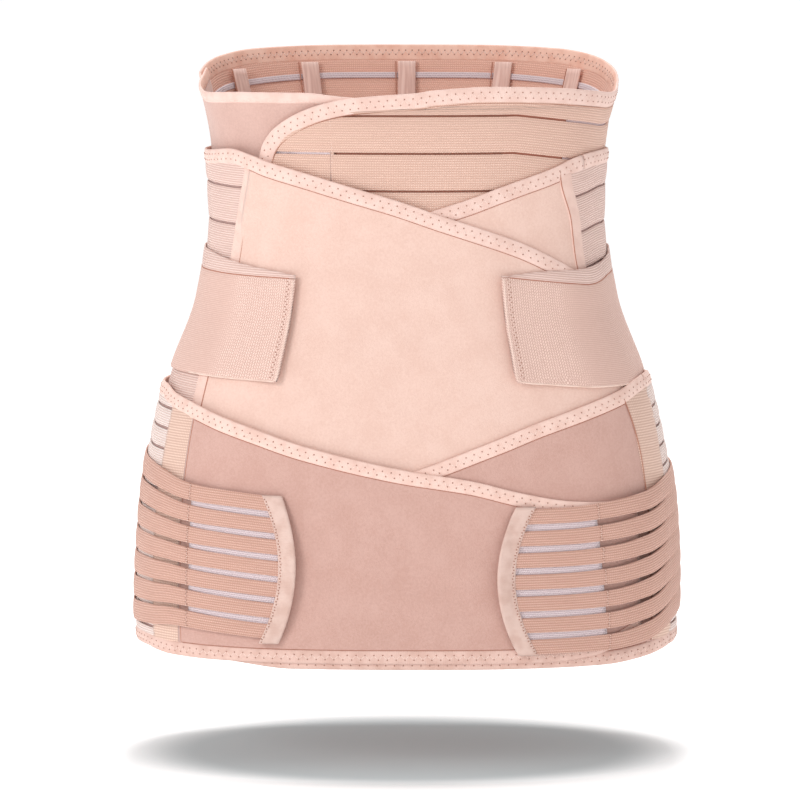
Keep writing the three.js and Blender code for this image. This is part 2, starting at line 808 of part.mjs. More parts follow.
// Each fan of strips, from its tab in front to its seam behind. Down is a share of PELVIS_HEIGHT
// below PELVIS_TOP, to the first strip's top edge and to the last strip's lower edge.
const FAN_LEFT = {
  first: [
    { at: -138, down: 0.275 },
    { at: -90, down: 0.285 },
    { at: -69, down: 0.302 },
    { at: -54, down: 0.338 },
    { at: -42, down: 0.374 },
    { at: -28, down: 0.393 },
  ],
  last: [
    { at: -90, down: 0.91 },
    { at: -69, down: 0.9 },
    { at: -54, down: 0.888 },
    { at: -28, down: 0.912 },
  ],
};
const FAN_RIGHT = {
  first: [
    { at: 30, down: 0.434 },
    { at: 42, down: 0.42 },
    { at: 54, down: 0.396 },
    { at: 69, down: 0.358 },
    { at: 90, down: 0.337 },
    { at: 138, down: 0.325 },
  ],
  last: [
    { at: 42, down: 0.963 },
    { at: 54, down: 0.94 },
    { at: 69, down: 0.89 },
    { at: 90, down: 0.86 },
  ],
};
const FAN_BACK_BEARING = 150;
const MESH_BEARING_LEFT = 44.5;
const MESH_BEARING_RIGHT = 41;

// A fan's tab is a crescent: the bearings of its two edges beside its foremost bearing
const CRESCENT = [
  { share: 0, near: 3.5, far: 7.4 },
  { share: 0.13, near: 1.9, far: 5.8 },
  { share: 0.29, near: 0.6, far: 4.3 },
  { share: 0.48, near: 0, far: 3.6 },
  { share: 0.66, near: 0.4, far: 3.9 },
  { share: 0.85, near: 1.6, far: 5.1 },
  { share: 1, near: 3.7, far: 7.5 },
];
const CRESCENT_OVERHANG = 1.5;

function crescentEdges(side, foremost, top, height, extra) {
  return CRESCENT.map(({ share, near, far }) => {
    const ends = [side * (foremost + near), side * (foremost + far + extra)];
    return { z: top - share * height, from: Math.min(...ends), to: Math.max(...ends) };
  });
}

function buildFan({ side, sign, foremost, lines, meshEnd, levels }) {
  const first = pelvisLine(lines.first);
  const last = pelvisLine(lines.last);
  const front = sign * foremost;
  const top = valueAt(first, front) + CRESCENT_OVERHANG;
  const height = top - valueAt(last, front) + CRESCENT_OVERHANG;
  const gap = degreesFor(SEAM_GAP, front, top);
  add(`pelvis_tab_${side}`, upright({
    edges: crescentEdges(sign, foremost, top, height, 0),
    inner: levels.tab,
    thick: TAB,
  }), MATERIALS.binding);

  const innerEdge = CRESCENT.map(({ share, far }) => [share, foremost + far + gap]);
  const bearings = sortedUnique([...first, ...last].map(([bearing]) => bearing));
  for (let i = 0; i < FAN_STRIPS; i += 1) {
    const spread = i / (FAN_STRIPS - 1);
    const stripHeight = (b) => lerp(FAN_STRIP_HEIGHT, FAN_SIDE_STRIP_HEIGHT, Math.min(1, Math.abs(b) / 90));
    const high = bearings.map((b) => [b, lerp(valueAt(first, b), valueAt(last, b) + stripHeight(b), spread)]);
    const low = high.map(([b, z]) => [b, z - stripHeight(b)]);
    const edges = [valueAt(high, front), valueAt(low, front)];
    const start = Math.max(...edges.map((z) => valueAt(innerEdge, (top - z) / height)));
    const ends = [sign * start, sign * FAN_BACK_BEARING];
    add(`pelvis_fan_${side}_${i + 1}`, ply({
      from: Math.min(...ends),
      to: Math.max(...ends),
      low,
      high,
      inner: levels.strips,
      thick: ELASTIC,
    }), MATERIALS.pelvisElastic);
  }

  const meshEnds = [front, sign * meshEnd];
  const net = ply({
    from: Math.min(...meshEnds),
    to: Math.max(...meshEnds),
    low: last,
    high: first,
    inner: levels.mesh,
    thick: MESH,
  });
  const window = upright({
    edges: CRESCENT.map(({ share, far }) => {
      const ends = [sign * (foremost + far + gap), sign * (meshEnd + 10)];
      return { z: top - share * height, from: Math.min(...ends), to: Math.max(...ends) };
    }),
    inner: LEVEL_BELLY,
    thick: LEVEL_FAN + TAB,
  });
  add(`pelvis_mesh_${side}`, inside(net, window), MATERIALS.mesh);
}

// The pelvis wrap: two crossing velour panels, finely slotted elastic round the back, a wide tape
// at each side, and a fan of strips over each side that ends in a crescent tab
function buildPelvisWrap() {
  const over = overLevel(LEVEL_PELVIS_OVER, LEVEL_PELVIS);
  const gap = degreesFor(SEAM_GAP, PELVIS_TAPE_RIGHT_BEARINGS.from, PELVIS_TOP);
  const bar = degreesFor(SEAM_WIDTH, PELVIS_TAPE_RIGHT_BEARINGS.to, PELVIS_TOP);
  const back = { from: PELVIS_TAPE_RIGHT_BEARINGS.to + gap, to: PELVIS_TAPE_LEFT_BEARINGS.from + 360 - gap };
  const low = valueAt(PELVIS_OVER_BOTTOM, -90);
  const underSide = PELVIS_UNDER_TOP.filter(([bearing]) => bearing > 60);
  const overSide = PELVIS_OVER_TOP.filter(([bearing]) => bearing < -50);
  add('pelvis_binding_over', ply({
    from: back.from - 360,
    to: PELVIS_OVER_BEARING,
    low: raised(PELVIS_OVER_TOP, -PELVIS_BINDING_WIDTH),
    high: PELVIS_OVER_TOP,
    inner: over,
    thick: BINDING,
  }), MATERIALS.binding);
  add('pelvis_binding_under', ply({
    from: PELVIS_UNDER_BEARING,
    to: PELVIS_TAPE_RIGHT_BEARINGS.to,
    low: raised(PELVIS_UNDER_TOP, -PELVIS_BINDING_WIDTH),
    high: PELVIS_UNDER_TOP,
    inner: LEVEL_PELVIS,
    thick: BINDING,
  }), MATERIALS.binding);
  add('pelvis_binding_over_bottom', ply({
    from: back.from - 360,
    to: PELVIS_OVER_BEARING,
    low: PELVIS_OVER_BOTTOM,
    high: raised(PELVIS_OVER_BOTTOM, PELVIS_BINDING_WIDTH),
    inner: over,
    thick: BINDING,
  }), MATERIALS.binding);
  add('pelvis_binding_under_bottom', ply({
    from: PELVIS_UNDER_BEARING,
    to: PELVIS_TAPE_RIGHT_BEARINGS.to,
    low: PELVIS_UNDER_BOTTOM,
    high: raised(PELVIS_UNDER_BOTTOM, PELVIS_BINDING_WIDTH),
    inner: LEVEL_PELVIS,
    thick: BINDING,
  }), MATERIALS.binding);
  add('pelvis_panel_over', ply({
    from: PELVIS_TAPE_LEFT_BEARINGS.to + gap,
    to: PELVIS_OVER_BEARING,
    low: raised(PELVIS_OVER_BOTTOM, PELVIS_BINDING_WIDTH + SEAM_GAP),
    high: raised(PELVIS_OVER_TOP, -PELVIS_BINDING_WIDTH - SEAM_GAP),
    inner: raised(over, CLOTH_INSET),
    thick: CLOTH,
  }), MATERIALS.pelvisVelour);
  add('pelvis_panel_under', ply({
    from: PELVIS_UNDER_BEARING,
    to: PELVIS_TAPE_RIGHT_BEARINGS.from - gap,
    low: raised(PELVIS_UNDER_BOTTOM, PELVIS_BINDING_WIDTH + SEAM_GAP),
    high: raised(PELVIS_UNDER_TOP, -PELVIS_BINDING_WIDTH - SEAM_GAP),
    inner: LEVEL_PELVIS + CLOTH_INSET,
    thick: CLOTH,
  }), MATERIALS.pelvisVelour);
  add('pelvis_elastic', sheet({
    ...back,
    bands: stripBands({
      top: raised([...underSide, ...turned(overSide, 360)], -PELVIS_BINDING_WIDTH - SEAM_GAP),
      bottom: low + PELVIS_BINDING_WIDTH + SEAM_GAP,
      firstSlot: PELVIS_TOP - PELVIS_FIRST_SLOT,
      pitch: PELVIS_PITCH,
      count: PELVIS_SLOTS,
      slot: FINE_SLOT,
    }),
    bars: [{ from: back.from, to: back.from + bar }, { from: back.to - bar, to: back.to }],
    inner: LEVEL_PELVIS + ELASTIC_INSET,
    outer: LEVEL_PELVIS + ELASTIC_INSET + ELASTIC,
  }), MATERIALS.pelvisElastic);

  const tapes = [
    { side: 'left', span: PELVIS_TAPE_LEFT_BEARINGS, top: PELVIS_OVER_TOP },
    { side: 'right', span: PELVIS_TAPE_RIGHT_BEARINGS, top: PELVIS_UNDER_TOP },
  ];
  for (const { side, span, top } of tapes) {
    add(`pelvis_tape_${side}`, ply({
      ...span,
      low: low + PELVIS_BINDING_WIDTH + SEAM_GAP,
      high: raised(top, -PELVIS_BINDING_WIDTH - SEAM_GAP),
      inner: LEVEL_PELVIS + ELASTIC_INSET,
      thick: ELASTIC,
    }), MATERIALS.elastic);
  }

  buildFan({
    side: 'left',
    sign: -1,
    foremost: 21.9,
    lines: FAN_LEFT,
    meshEnd: MESH_BEARING_LEFT,
    levels: {
      tab: LEVEL_FAN_MESH,
      mesh: levelLine([
        { at: -54, level: LEVEL_FAN_SIDE },
        { at: -42, level: LEVEL_FAN_MESH },
      ]),
      strips: levelLine([
        { at: -69, level: LEVEL_FAN_SIDE },
        { at: -54, level: LEVEL_FAN_SIDE + MESH + PLY_GAP },
        { at: -42, level: LEVEL_FAN },
      ]),
    },
  });
  buildFan({
    side: 'right',
    sign: 1,
    foremost: 17.8,
    lines: FAN_RIGHT,
    meshEnd: MESH_BEARING_RIGHT,
    levels: {
      tab: LEVEL_FAN_MESH,
      mesh: LEVEL_FAN_MESH,
      strips: levelLine([{ at: 54, level: LEVEL_FAN }, { at: 69, level: LEVEL_FAN_SIDE }]),
    },
  });
}

buildWaistWrap();
buildBellyWrap();
buildPelvisWrap();

export default binder;
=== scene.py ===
"""The visual model of a three-wrap abdominal binder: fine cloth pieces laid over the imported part.

A place on the wraps is a bearing in degrees (0 front centre, 90 at +X, 180 back, -90 at -X), a
height z and a level, all in millimetres: the level is how far out of the innermost elastic's form
a surface lies. Meshes are turned into metres as they are made.
"""

import math

import bmesh
import bpy
import numpy as np
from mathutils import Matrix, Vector


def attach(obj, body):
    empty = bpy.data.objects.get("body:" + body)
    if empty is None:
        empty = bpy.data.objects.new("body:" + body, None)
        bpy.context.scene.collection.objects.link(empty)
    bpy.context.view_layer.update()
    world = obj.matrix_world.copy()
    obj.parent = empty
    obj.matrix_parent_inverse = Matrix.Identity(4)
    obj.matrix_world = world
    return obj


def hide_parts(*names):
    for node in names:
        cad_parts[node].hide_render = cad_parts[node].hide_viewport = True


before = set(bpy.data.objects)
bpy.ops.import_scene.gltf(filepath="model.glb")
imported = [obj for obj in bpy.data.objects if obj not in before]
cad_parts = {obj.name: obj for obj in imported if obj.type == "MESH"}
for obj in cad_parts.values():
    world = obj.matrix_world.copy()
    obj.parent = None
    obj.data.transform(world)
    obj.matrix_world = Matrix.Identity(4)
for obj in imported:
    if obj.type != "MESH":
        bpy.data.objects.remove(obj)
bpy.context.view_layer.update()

METRES = 0.001
ROUNDNESS = 2.5

# The form's half width and its depths to the front and to the back, at each height
FORM = [
    # z, half width, front, back
    (-330.0, 167.5, 106.5, 113.0),
    (-312.0, 168.8, 107.0, 115.8),
    (-260.0, 171.0, 108.0, 120.7),
    (-208.0, 169.0, 108.0, 124.0),
    (-156.0, 161.7, 105.6, 120.7),
    (-109.0, 150.1, 101.5, 110.8),
    (-60.5, 132.7, 95.1, 97.6),
    (-12.0, 126.5, 91.0, 91.0),
    (36.6, 129.0, 91.5, 94.0),
    (100.0, 143.0, 96.0, 103.0),
]

# Thicknesses
BINDING = 1.8
CLOTH = 1.0
ELASTIC = 1.2
STRAP = 1.4
MESH = 1.0
CASING = 1.6
TAB = 2.6

# Slots between strips of elastic: the waist wrap's by bearing, and the other wraps'
SLOT = [(-21, 1.3), (60, 1.4), (95, 2.0), (120, 2.6)]
BELLY_SLOT = 1.5
FINE_SLOT = 1.7
STRIP_PITCH = 24.3
PELVIS_PITCH = 13.0
NET_HEIGHT = 4.0

# Edge tapes, and how far inside an edge the cloth under its tape starts
BINDING_WIDTH = 10.0
PELVIS_BINDING_WIDTH = 9.0
FLAP_BINDING_WIDTH = 10.5
UNDER_BINDING_WIDTH = 7.2
TUCK = 3.0
BOUND = BINDING_WIDTH - TUCK
PELVIS_BOUND = PELVIS_BINDING_WIDTH - TUCK
CROWN = 0.45

# Threads, painted needle-hole shade, and dark lines: seam lines, and crease lines partly painted as shade
THREAD = 0.42
THREAD_RISE = 0.4
HOLE = 0.92
ZIGZAG_PITCH = 2.7
ZIGZAG_SPREAD = 3.6
# The crease lines beside the tapes: dark lines, partly seam and partly painted shade in the crease at each
# tape's edge.
CREASE_WIDTH = 0.4
CREASE_THICK = 0.45
CREASE_RISE = 1.2
CREASE_GAP = 0.1
SEAM_WIDTH = 0.7
SEAM_THICK = 0.5

# Levels of the plies, and how deep cloth lies in its tape
LEVEL_CASING = -3.4
LEVEL_BAND = -1.2
LEVEL_WAIST = 0.0
LEVEL_BELLY = 2.2
LEVEL_PELVIS = 6.4
LEVEL_FAN_MESH = 10.8
CLOTH_INSET = 0.4
ELASTIC_INSET = 0.3

LEFT, RIGHT = -1, 1


def smooth(points):
    """A curve through (x, y) points that never overshoots them, level past its ends."""
    xs, ys = np.array(points, float).T
    steps = np.diff(xs)
    slopes = np.diff(ys) / steps
    turns = np.concatenate([[slopes[0]], np.zeros(len(xs) - 2), [slopes[-1]]])
    for i in range(1, len(xs) - 1):
        if slopes[i - 1] * slopes[i] > 0:
            before = 2 * steps[i] + steps[i - 1]
            after = steps[i] + 2 * steps[i - 1]
            turns[i] = (before + after) / (before / slopes[i - 1] + after / slopes[i])

    def value(x):
        x = np.clip(np.asarray(x, float), xs[0], xs[-1])
        i = np.clip(np.searchsorted(xs, x) - 1, 0, len(steps) - 1)
        h = steps[i]
        t = (x - xs[i]) / h
        left = ys[i] * (1 + 2 * t) * (1 - t) ** 2 + turns[i] * h * t * (1 - t) ** 2
        right = ys[i + 1] * t * t * (3 - 2 * t) + turns[i + 1] * h * t * t * (t - 1)
        return left + right

    return value


def as_line(value):
    """A number, a list of points or a function, as a function."""
    if callable(value):
        return value
    if isinstance(value, (int, float)):
        return lambda x: np.full(np.shape(x), float(value))
    return smooth(value)


def raised(line, amount):
    line = as_line(line)
    return lambda x: line(x) + amount


def a_turn_back(line):
    """The same line, its bearings a full turn less."""
    return [(bearing - 360, value) for bearing, value in line]


def band(middle, height):
    """The lower and upper edge of a band about a middle line."""
    middle, height = as_line(middle), as_line(height)
    return (lambda x: middle(x) - height(x) / 2), (lambda x: middle(x) + height(x) / 2)


def slot_middles(drift, first, pitch, count):
    """The middle lines of a wrap's slots, from the top down."""
    return [raised(drift, first - i * pitch) for i in range(count)]


def strip_edges(top, bottom, middles, slot):
    """The lower and upper edge of each strip between the slots, from the top down."""
    slots = [band(middle, slot) for middle in middles]
    lower_edges = [upper for _, upper in slots] + [bottom]
    upper_edges = [top] + [lower for lower, _ in slots]
    return list(zip(lower_edges, upper_edges))


def ends_in_order(sign, far, near):
    """A side piece's two ends, by growing bearing."""
    return (far, near) if sign == LEFT else (near, far)


half_width, front_depth, back_depth = (
    smooth([(row[0], row[k]) for row in FORM]) for k in (1, 2, 3)
)


def ripple(bearing, z):
    """The worn cloth's gentle unevenness, shared by all the plies so that they stay apart."""
    a = np.radians(bearing)
    wide = np.sin(3 * a + 0.021 * z + 0.6) + 0.7 * np.sin(7 * a - 0.034 * z + 1.9)
    fine = 0.4 * np.sin(17 * a + 0.052 * z) * np.sin(0.061 * z + 2 * a + 0.4)
    return 0.45 * (wide + fine)


def place(bearing, z, level):
    """Points in millimetres, shape (..., 3)."""
    a = np.radians(bearing)
    side, ahead = np.sin(a), np.cos(a)
    k = (np.abs(side) ** ROUNDNESS + np.abs(ahead) ** ROUNDNESS) ** (1 / ROUNDNESS)
    out = level + ripple(bearing, z)
    depth = np.where(ahead >= 0, front_depth(z), back_depth(z)) + out
    return np.stack([(half_width(z) + out) * side / k, -depth * ahead / k, z + 0 * k], -1)


def millimetres_per_degree(bearing, z):
    return np.linalg.norm(place(bearing + 0.5, z, 0.0) - place(bearing - 0.5, z, 0.0), axis=-1)


def cross_section(rows, thick):
    """The outline of a strip's section: share of the way up, millimetres further, share of the
    thickness, and share of the crown."""
    r = thick / 2
    outer = [(f, r - 2 * r * f, 1.0, 4 * f * (1 - f)) for f in np.linspace(0, 1, rows)]
    inner = [(f, r - 2 * r * f, 0.0, 0.0) for f in np.linspace(1, 0, max(2, rows // 2))]
    low = [(0, 0.29 * r, 0.146, 0), (0, 0, 0.5, 0), (0, 0.29 * r, 0.854, 0)]
    high = [(1, -0.29 * r, 0.854, 0), (1, 0, 0.5, 0), (1, -0.29 * r, 0.146, 0)]
    return np.array(low + outer + high + inner).T


class Cloth:
    """Closed strips of cloth gathered into one object. UV is metres along and metres across."""

    def __init__(self):
        self.points, self.uvs, self.faces, self.inward, self.count = [], [], [], [], 0

    def add_rings(self, points, uvs, depth=None):
        columns, ring = points.shape[:2]
        index = np.arange(columns * ring).reshape(columns, ring) + self.count
        turned = np.roll(index, -1, axis=1)
        quads = np.stack([index[:-1], index[1:], turned[1:], turned[:-1]], -1).reshape(-1, 4)
        self.faces += quads.tolist()
        self.faces += [index[0].tolist(), index[-1][::-1].tolist()]
        # Faces on a strip's inside, which may take a second material: a copy with painted shade of the ring's
        # dim inside.
        inside_shade = np.zeros(len(self.faces) - len(self.inward), bool)
        if depth is not None:
            inside = (depth < 0.3) & (np.roll(depth, -1) < 0.3)
            inside_shade[:-2] = np.tile(inside, columns - 1)
        self.inward += inside_shade.tolist()
        self.points.append(points.reshape(-1, 3) * METRES)
        self.uvs.append(uvs.reshape(-1, 2) * METRES)
        self.count += columns * ring
        return self

    def shell(self, start, end, low, high, level, thick, crown=0.0, step=3.0, rows=5, back=False):
        """A piece between two lines, round from one bearing to another. Its ends may lean."""
        start, end, low, high, level = map(as_line, (start, end, low, high, level))
        middle = float(np.mean(low(0.0) + high(0.0)) / 2)
        width = float(end(middle) - start(middle))
        columns = max(4, int(abs(width) * 2.4 / step))
        s = np.linspace(0, 1, columns)[:, None]
        f, further, depth, crowned = cross_section(rows, thick)
        bearing = start(middle) + width * s + 0 * f
        for _ in range(4):
            bottom, top = low(bearing), high(bearing)
            z = bottom + f * (top - bottom) + further
            bearing = start(z) + (end(z) - start(z)) * s
        points = place(bearing, z, level(bearing) + thick * depth + crown * crowned)
        steps = np.linalg.norm(np.diff(points.mean(1), axis=0), axis=1)
        along = np.concatenate([[0], np.cumsum(steps)])
        if back:
            along = along[-1] - along
        uvs = np.stack([along[:, None] + 0 * z, z - bottom], -1)
        return self.add_rings(points, uvs, depth)

    def ribbon(self, path, width, level, thick, crown=0.0, step=2.5, rows=5, cut_level=False):
        """A piece of one width along a path of (bearing, z) points. An upright one may be cut level."""
        bearing, z, across, _ = follow(path, step)
        if cut_level:
            across = np.sign(across[:, :1]) * (1.0, 0.0)
        f, further, depth, crowned = cross_section(rows, thick)
        q = (f - 0.5) * width + further
        b = bearing[:, None] + across[:, :1] * q / millimetres_per_degree(bearing, z)[:, None]
        h = z[:, None] + across[:, 1:] * q
        points = place(b, h, as_line(level)(b) + thick * depth + crown * crowned)
        along = np.arange(len(bearing))[:, None] * step
        return self.add_rings(points, np.stack([along + 0 * q, q + 0 * along], -1), depth)

    def bead(self, bearing, z, level, lead, length, width):
        """A short thread lying on the surface, its way along it given as (side, up)."""
        scale = float(millimetres_per_degree(bearing, z))
        spots = np.linspace(-0.5, 0.5, 4)[:, None]
        fat = np.array([0.35, 1.0, 1.0, 0.35])[:, None] * width / 2
        angles = np.radians(np.arange(0, 360, 60))
        t, w = spots * length, fat * np.cos(angles)
        up = 0.6 * fat * np.sin(angles)
        b = bearing + (lead[0] * t - lead[1] * w) / scale
        h = z + lead[1] * t + lead[0] * w
        return self.add_rings(place(b, h, level(b) + up), np.stack([t + 0 * w, w + 0 * t], -1))

    def make(self, name, material, slot, replaces=(), inside_shade=None):
        mesh = bpy.data.meshes.new(name)
        mesh.from_pydata(np.concatenate(self.points).tolist(), [], self.faces)
        layer = mesh.uv_layers.new(name="Cloth")
        corners = np.zeros(len(mesh.loops), int)
        mesh.loops.foreach_get("vertex_index", corners)
        layer.data.foreach_set("uv", np.concatenate(self.uvs)[corners].ravel())
        work = bmesh.new()
        work.from_mesh(mesh)
        bmesh.ops.recalc_face_normals(work, faces=work.faces)
        work.to_mesh(mesh)
        work.free()
        mesh.polygons.foreach_set("use_smooth", [True] * len(mesh.polygons))
        mesh.materials.append(material)
        # The inside faces take the copy with painted shade of the ring's inside.
        if inside_shade:
            mesh.materials.append(inside_shade)
            mesh.polygons.foreach_set("material_index", np.array(self.inward, int))
        piece = bpy.data.objects.new(name, mesh)
        bpy.context.scene.collection.objects.link(piece)
        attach(piece, "root")
        if replaces:
            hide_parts(*replaces)
        return piece


def follow(path, step):
    """Even steps along a path of (bearing, z) points: bearings, heights, and the unit directions
    across (to the left of the way) and along it, as (side, up) pairs."""
    b, z = np.array(path, float).T
    scale = millimetres_per_degree((b[1:] + b[:-1]) / 2, (z[1:] + z[:-1]) / 2)
    run = np.concatenate([[0], np.cumsum(np.hypot(np.diff(b) * scale, np.diff(z)))])
    count = max(3, int(round(run[-1] / step)) + 1)
    s = np.linspace(0, run[-1], count)
    bearing_at = smooth(np.stack([run, b], -1))
    height_at = smooth(np.stack([run, z], -1))
    bearing, height = bearing_at(s), height_at(s)
    side = np.gradient(bearing) * millimetres_per_degree(bearing, height)
    up = np.gradient(height)
    size = np.hypot(side, up)
    along = np.stack([side / size, up / size], -1)
    across = np.stack([-along[:, 1], along[:, 0]], -1)
    return bearing, height, across, along


def beside(path, distance):
    """A path moved sideways, to the left of its way."""
    bearing, z, across, _ = follow(path, 4.0)
    bearing = bearing + across[:, 0] * distance / millimetres_per_degree(bearing, z)
    return list(zip(bearing, z + across[:, 1] * distance))


def edge_path(line, start, end, below, step=4.0):
    """A path a little below a line of heights."""
    line = as_line(line)
    bearings = np.linspace(start, end, max(4, int(abs(end - start) / step * 2)))
    return [(b, float(line(b)) - below) for b in bearings]


# Sewing, gathered over all the wraps, with painted shade at each needle hole and dark lines that are partly
# seam lines and partly painted shadow

threads, holes, seams_and_shadows = Cloth(), Cloth(), Cloth()


def sew(path, level, pitch, length, slant=0.0, holed=True):
    """Short threads along a path, one every pitch, leaning left and right by turns, each going
    down through the cloth at its end, where a dark bead, painted shade in its needle hole, may show."""
    bearing, z, across, along = follow(path, pitch)
    scale = millimetres_per_degree(bearing, z)
    level = as_line(level)
    for i in range(len(bearing)):
        turn = math.radians(slant if i % 2 else -slant)
        lead = along[i] * math.cos(turn) + across[i] * math.sin(turn)
        threads.bead(bearing[i], z[i], level, lead, length, THREAD)
        if holed:
            b = bearing[i] + lead[0] * length / 2 / scale[i]
            holes.bead(b, z[i] + lead[1] * length / 2, level, lead, HOLE, HOLE)


def zigzag(path, level, spread=ZIGZAG_SPREAD, pitch=ZIGZAG_PITCH):
    slant = math.degrees(math.atan2(spread, pitch))
    sew(path, level, pitch, math.hypot(spread, pitch), slant)


def bind(path, width, level, crease, side=-1, spread=ZIGZAG_SPREAD):
    """An edge tape with its zigzag, and a dark line beside it, partly a seam and partly painted
    shade in the crease at its edge: above it for side 1, and below it for side -1."""
    zigzag(path, raised(level, BINDING + THREAD_RISE), spread)
    crease = beside(crease, side * (width / 2 + CREASE_GAP))
    seams_and_shadows.ribbon(crease, CREASE_WIDTH, raised(level, CREASE_RISE), CREASE_THICK)
    return Cloth().ribbon(path, width, level, BINDING, CROWN)


# Materials


def srgb(*channels):
    """A colour given in 0 to 255, as the linear one that a shader takes."""
    return [((c / 255 + 0.055) / 1.055) ** 2.4 for c in channels] + [1]


class Look:
    """A node material, built step by step. Sockets are passed between its methods."""

    def __init__(self, name):
        self.material = bpy.data.materials.new(name)
        self.material.use_nodes = True
        self.tree = self.material.node_tree
        self.surface = self.tree.nodes["Principled BSDF"]
        uv = self.node("ShaderNodeUVMap", uv_map="Cloth").outputs["UV"]
        parts = self.node("ShaderNodeSeparateXYZ", Vector=uv)
        self.uv, self.along, self.across = uv, parts.outputs["X"], parts.outputs["Y"]
        self.spot = self.node("ShaderNodeTexCoord").outputs["Object"]

    def node(self, kind, **settings):
        made = self.tree.nodes.new(kind)
        for key, value in settings.items():
            if key in made.inputs:
                self.feed(made.inputs[key], value)
            else:
                setattr(made, key, value)
        return made

    def feed(self, socket, value):
        if isinstance(value, bpy.types.NodeSocket):
            self.tree.links.new(value, socket)
        else:
            socket.default_value = value

    def math(self, operation, *values):
        made = self.tree.nodes.new("ShaderNodeMath")
        made.operation = operation
        for socket, value in zip(made.inputs, values):
            self.feed(socket, value)
        return made.outputs[0]

    def total(self, *parts):
        """The sum of (value, share) pairs, each value times its share."""
        result = 0.0
        for value, share in parts:
            result = self.math("MULTIPLY_ADD", value, share, result)
        return result

    def wave(self, coordinate, pitch, shift=0.0):
        """0 to 1 and back once every pitch, in millimetres."""
        turns = self.math("MULTIPLY_ADD", coordinate, 2 * math.pi / (pitch * METRES), shift)
        return self.math("MULTIPLY_ADD", self.math("SINE", turns), 0.5, 0.5)

    def noise(self, size, detail=2.0):
        """Noise with features of about this many millimetres."""
        made = self.node("ShaderNodeTexNoise", Scale=1 / (size * METRES), Detail=detail)
        self.feed(made.inputs["Vector"], self.spot)
        return made.outputs["Fac"]

    def stretched_noise(self, along, across):
        """Noise with features so long and so wide, in millimetres, lying along the cloth."""
        scale = (1 / (along * METRES), 1 / (across * METRES), 1)
        scaled = self.node("ShaderNodeMapping", Scale=scale)
        self.feed(scaled.inputs["Vector"], self.uv)
        made = self.node("ShaderNodeTexNoise", Scale=1.0, Detail=2.0)
        self.feed(made.inputs["Vector"], scaled.outputs["Vector"])
        return made.outputs["Fac"]

    def mix(self, share, first, second):
        made = self.node("ShaderNodeMix", data_type="RGBA")
        self.feed(made.inputs["Factor"], share)
        self.feed(made.inputs[6], first)
        self.feed(made.inputs[7], second)
        return made.outputs[2]

    def window(self, value, low, high):
        """1 above high, 0 below low, smooth between."""
        made = self.node("ShaderNodeMapRange", interpolation_type="SMOOTHSTEP")
        for key, given in (("Value", value), ("From Min", low), ("From Max", high)):
            self.feed(made.inputs[key], given)
        return made.outputs["Result"]

    def finish(self, colour, height, depth, roughness, sheen=0.0):
        """Height is 0 to 1, and depth is what 1 stands for in millimetres."""
        bump = self.node("ShaderNodeBump", Strength=1.0, Distance=depth * METRES)
        self.feed(bump.inputs["Height"], height)
        self.feed(self.surface.inputs["Normal"], bump.outputs["Normal"])
        self.feed(self.surface.inputs["Base Color"], colour)
        self.feed(self.surface.inputs["Roughness"], roughness)
        self.surface.inputs["Sheen Weight"].default_value = sheen
        self.surface.inputs["Sheen Roughness"].default_value = 0.45
        self.surface.inputs["Specular IOR Level"].default_value = 0.25
        return self.material


def velour(name, colour, shade):
    """Brushed loops: fine fuzz, small clumps and a slow uneven lie of the pile."""
    look = Look(name)
    fuzz = look.noise(0.5, 3.0)
    clumps = look.noise(1.4, 3.0)
    lie = look.noise(16.0, 2.0)
    mottle = look.total((clumps, 0.6), (lie, 0.4))
    tone = look.mix(look.window(mottle, 0.3, 0.7), srgb(*shade), srgb(*colour))
    height = look.total((fuzz, 0.7), (clumps, 0.3))
    return look.finish(tone, height, depth=0.3, roughness=0.95, sheen=0.3)


def elastic(name, colour, groove, pitch=1.5, knit=0.9, depth=0.32, dots=0.45):
    """Woven elastic: ribs along the strip, with the small slanted knots of the weave on them."""
    look = Look(name)
    rib = look.wave(look.across, pitch)
    lean = look.math("MULTIPLY_ADD", rib, 2.4, -1.2)
    knots = look.wave(look.along, knit, lean)
    weave = look.math("MULTIPLY", rib, look.math("MULTIPLY_ADD", knots, dots, 1.0 - dots))
    uneven = look.stretched_noise(26.0, 1.6)
    tone = look.mix(look.window(weave, 0.05, 0.7), srgb(*groove), srgb(*colour))
    dull = look.mix(look.window(uneven, 0.3, 0.75), tone, look.mix(0.35, tone, srgb(*groove)))
    return look.finish(dull, weave, depth, roughness=0.82, sheen=0.12)


def folded_binding(name, colour, shade):
    """Folded elastic tape: very fine ribs across it, smooth and slightly shiny."""
    look = Look(name)
    ribs = look.wave(look.along, 1.1)
    grain = look.noise(0.7, 2.0)
    slow = look.noise(9.0, 2.0)
    tone = look.mix(look.window(slow, 0.35, 0.7), srgb(*colour), srgb(*shade))
    height = look.total((ribs, 0.5), (grain, 0.5))
    return look.finish(tone, height, depth=0.16, roughness=0.72, sheen=0.15)


def jacquard(name, colour, shade, fade):
    """Small knit dots with a faint zigzag figure near the strap's end, and fine ribs beyond."""
    look = Look(name)
    swing = look.math("ADD", look.across, look.math("PINGPONG", look.along, 4.5 * METRES))
    dots = look.math("MULTIPLY", look.wave(look.along, 1.7), look.wave(swing, 1.8))
    fancy = look.total((look.noise(0.9, 1.0), 0.36), (dots, 0.75))
    ribs = look.total((look.wave(look.along, 0.9), 0.3), (look.wave(look.across, 1.2), 0.22))
    plain = look.window(look.along, 0.55 * fade * METRES, fade * METRES)
    blend = look.total((ribs, plain), (fancy, look.math("SUBTRACT", 1.0, plain)))
    blotch = look.math("MULTIPLY_ADD", look.noise(2.5, 3.0), 0.5, 0.65)
    share = look.math("MULTIPLY", look.window(blend, 0.05, 0.7), blotch)
    tone = look.mix(share, srgb(*shade), srgb(*colour))
    return look.finish(tone, blend, depth=0.26, roughness=0.8, sheen=0.1)


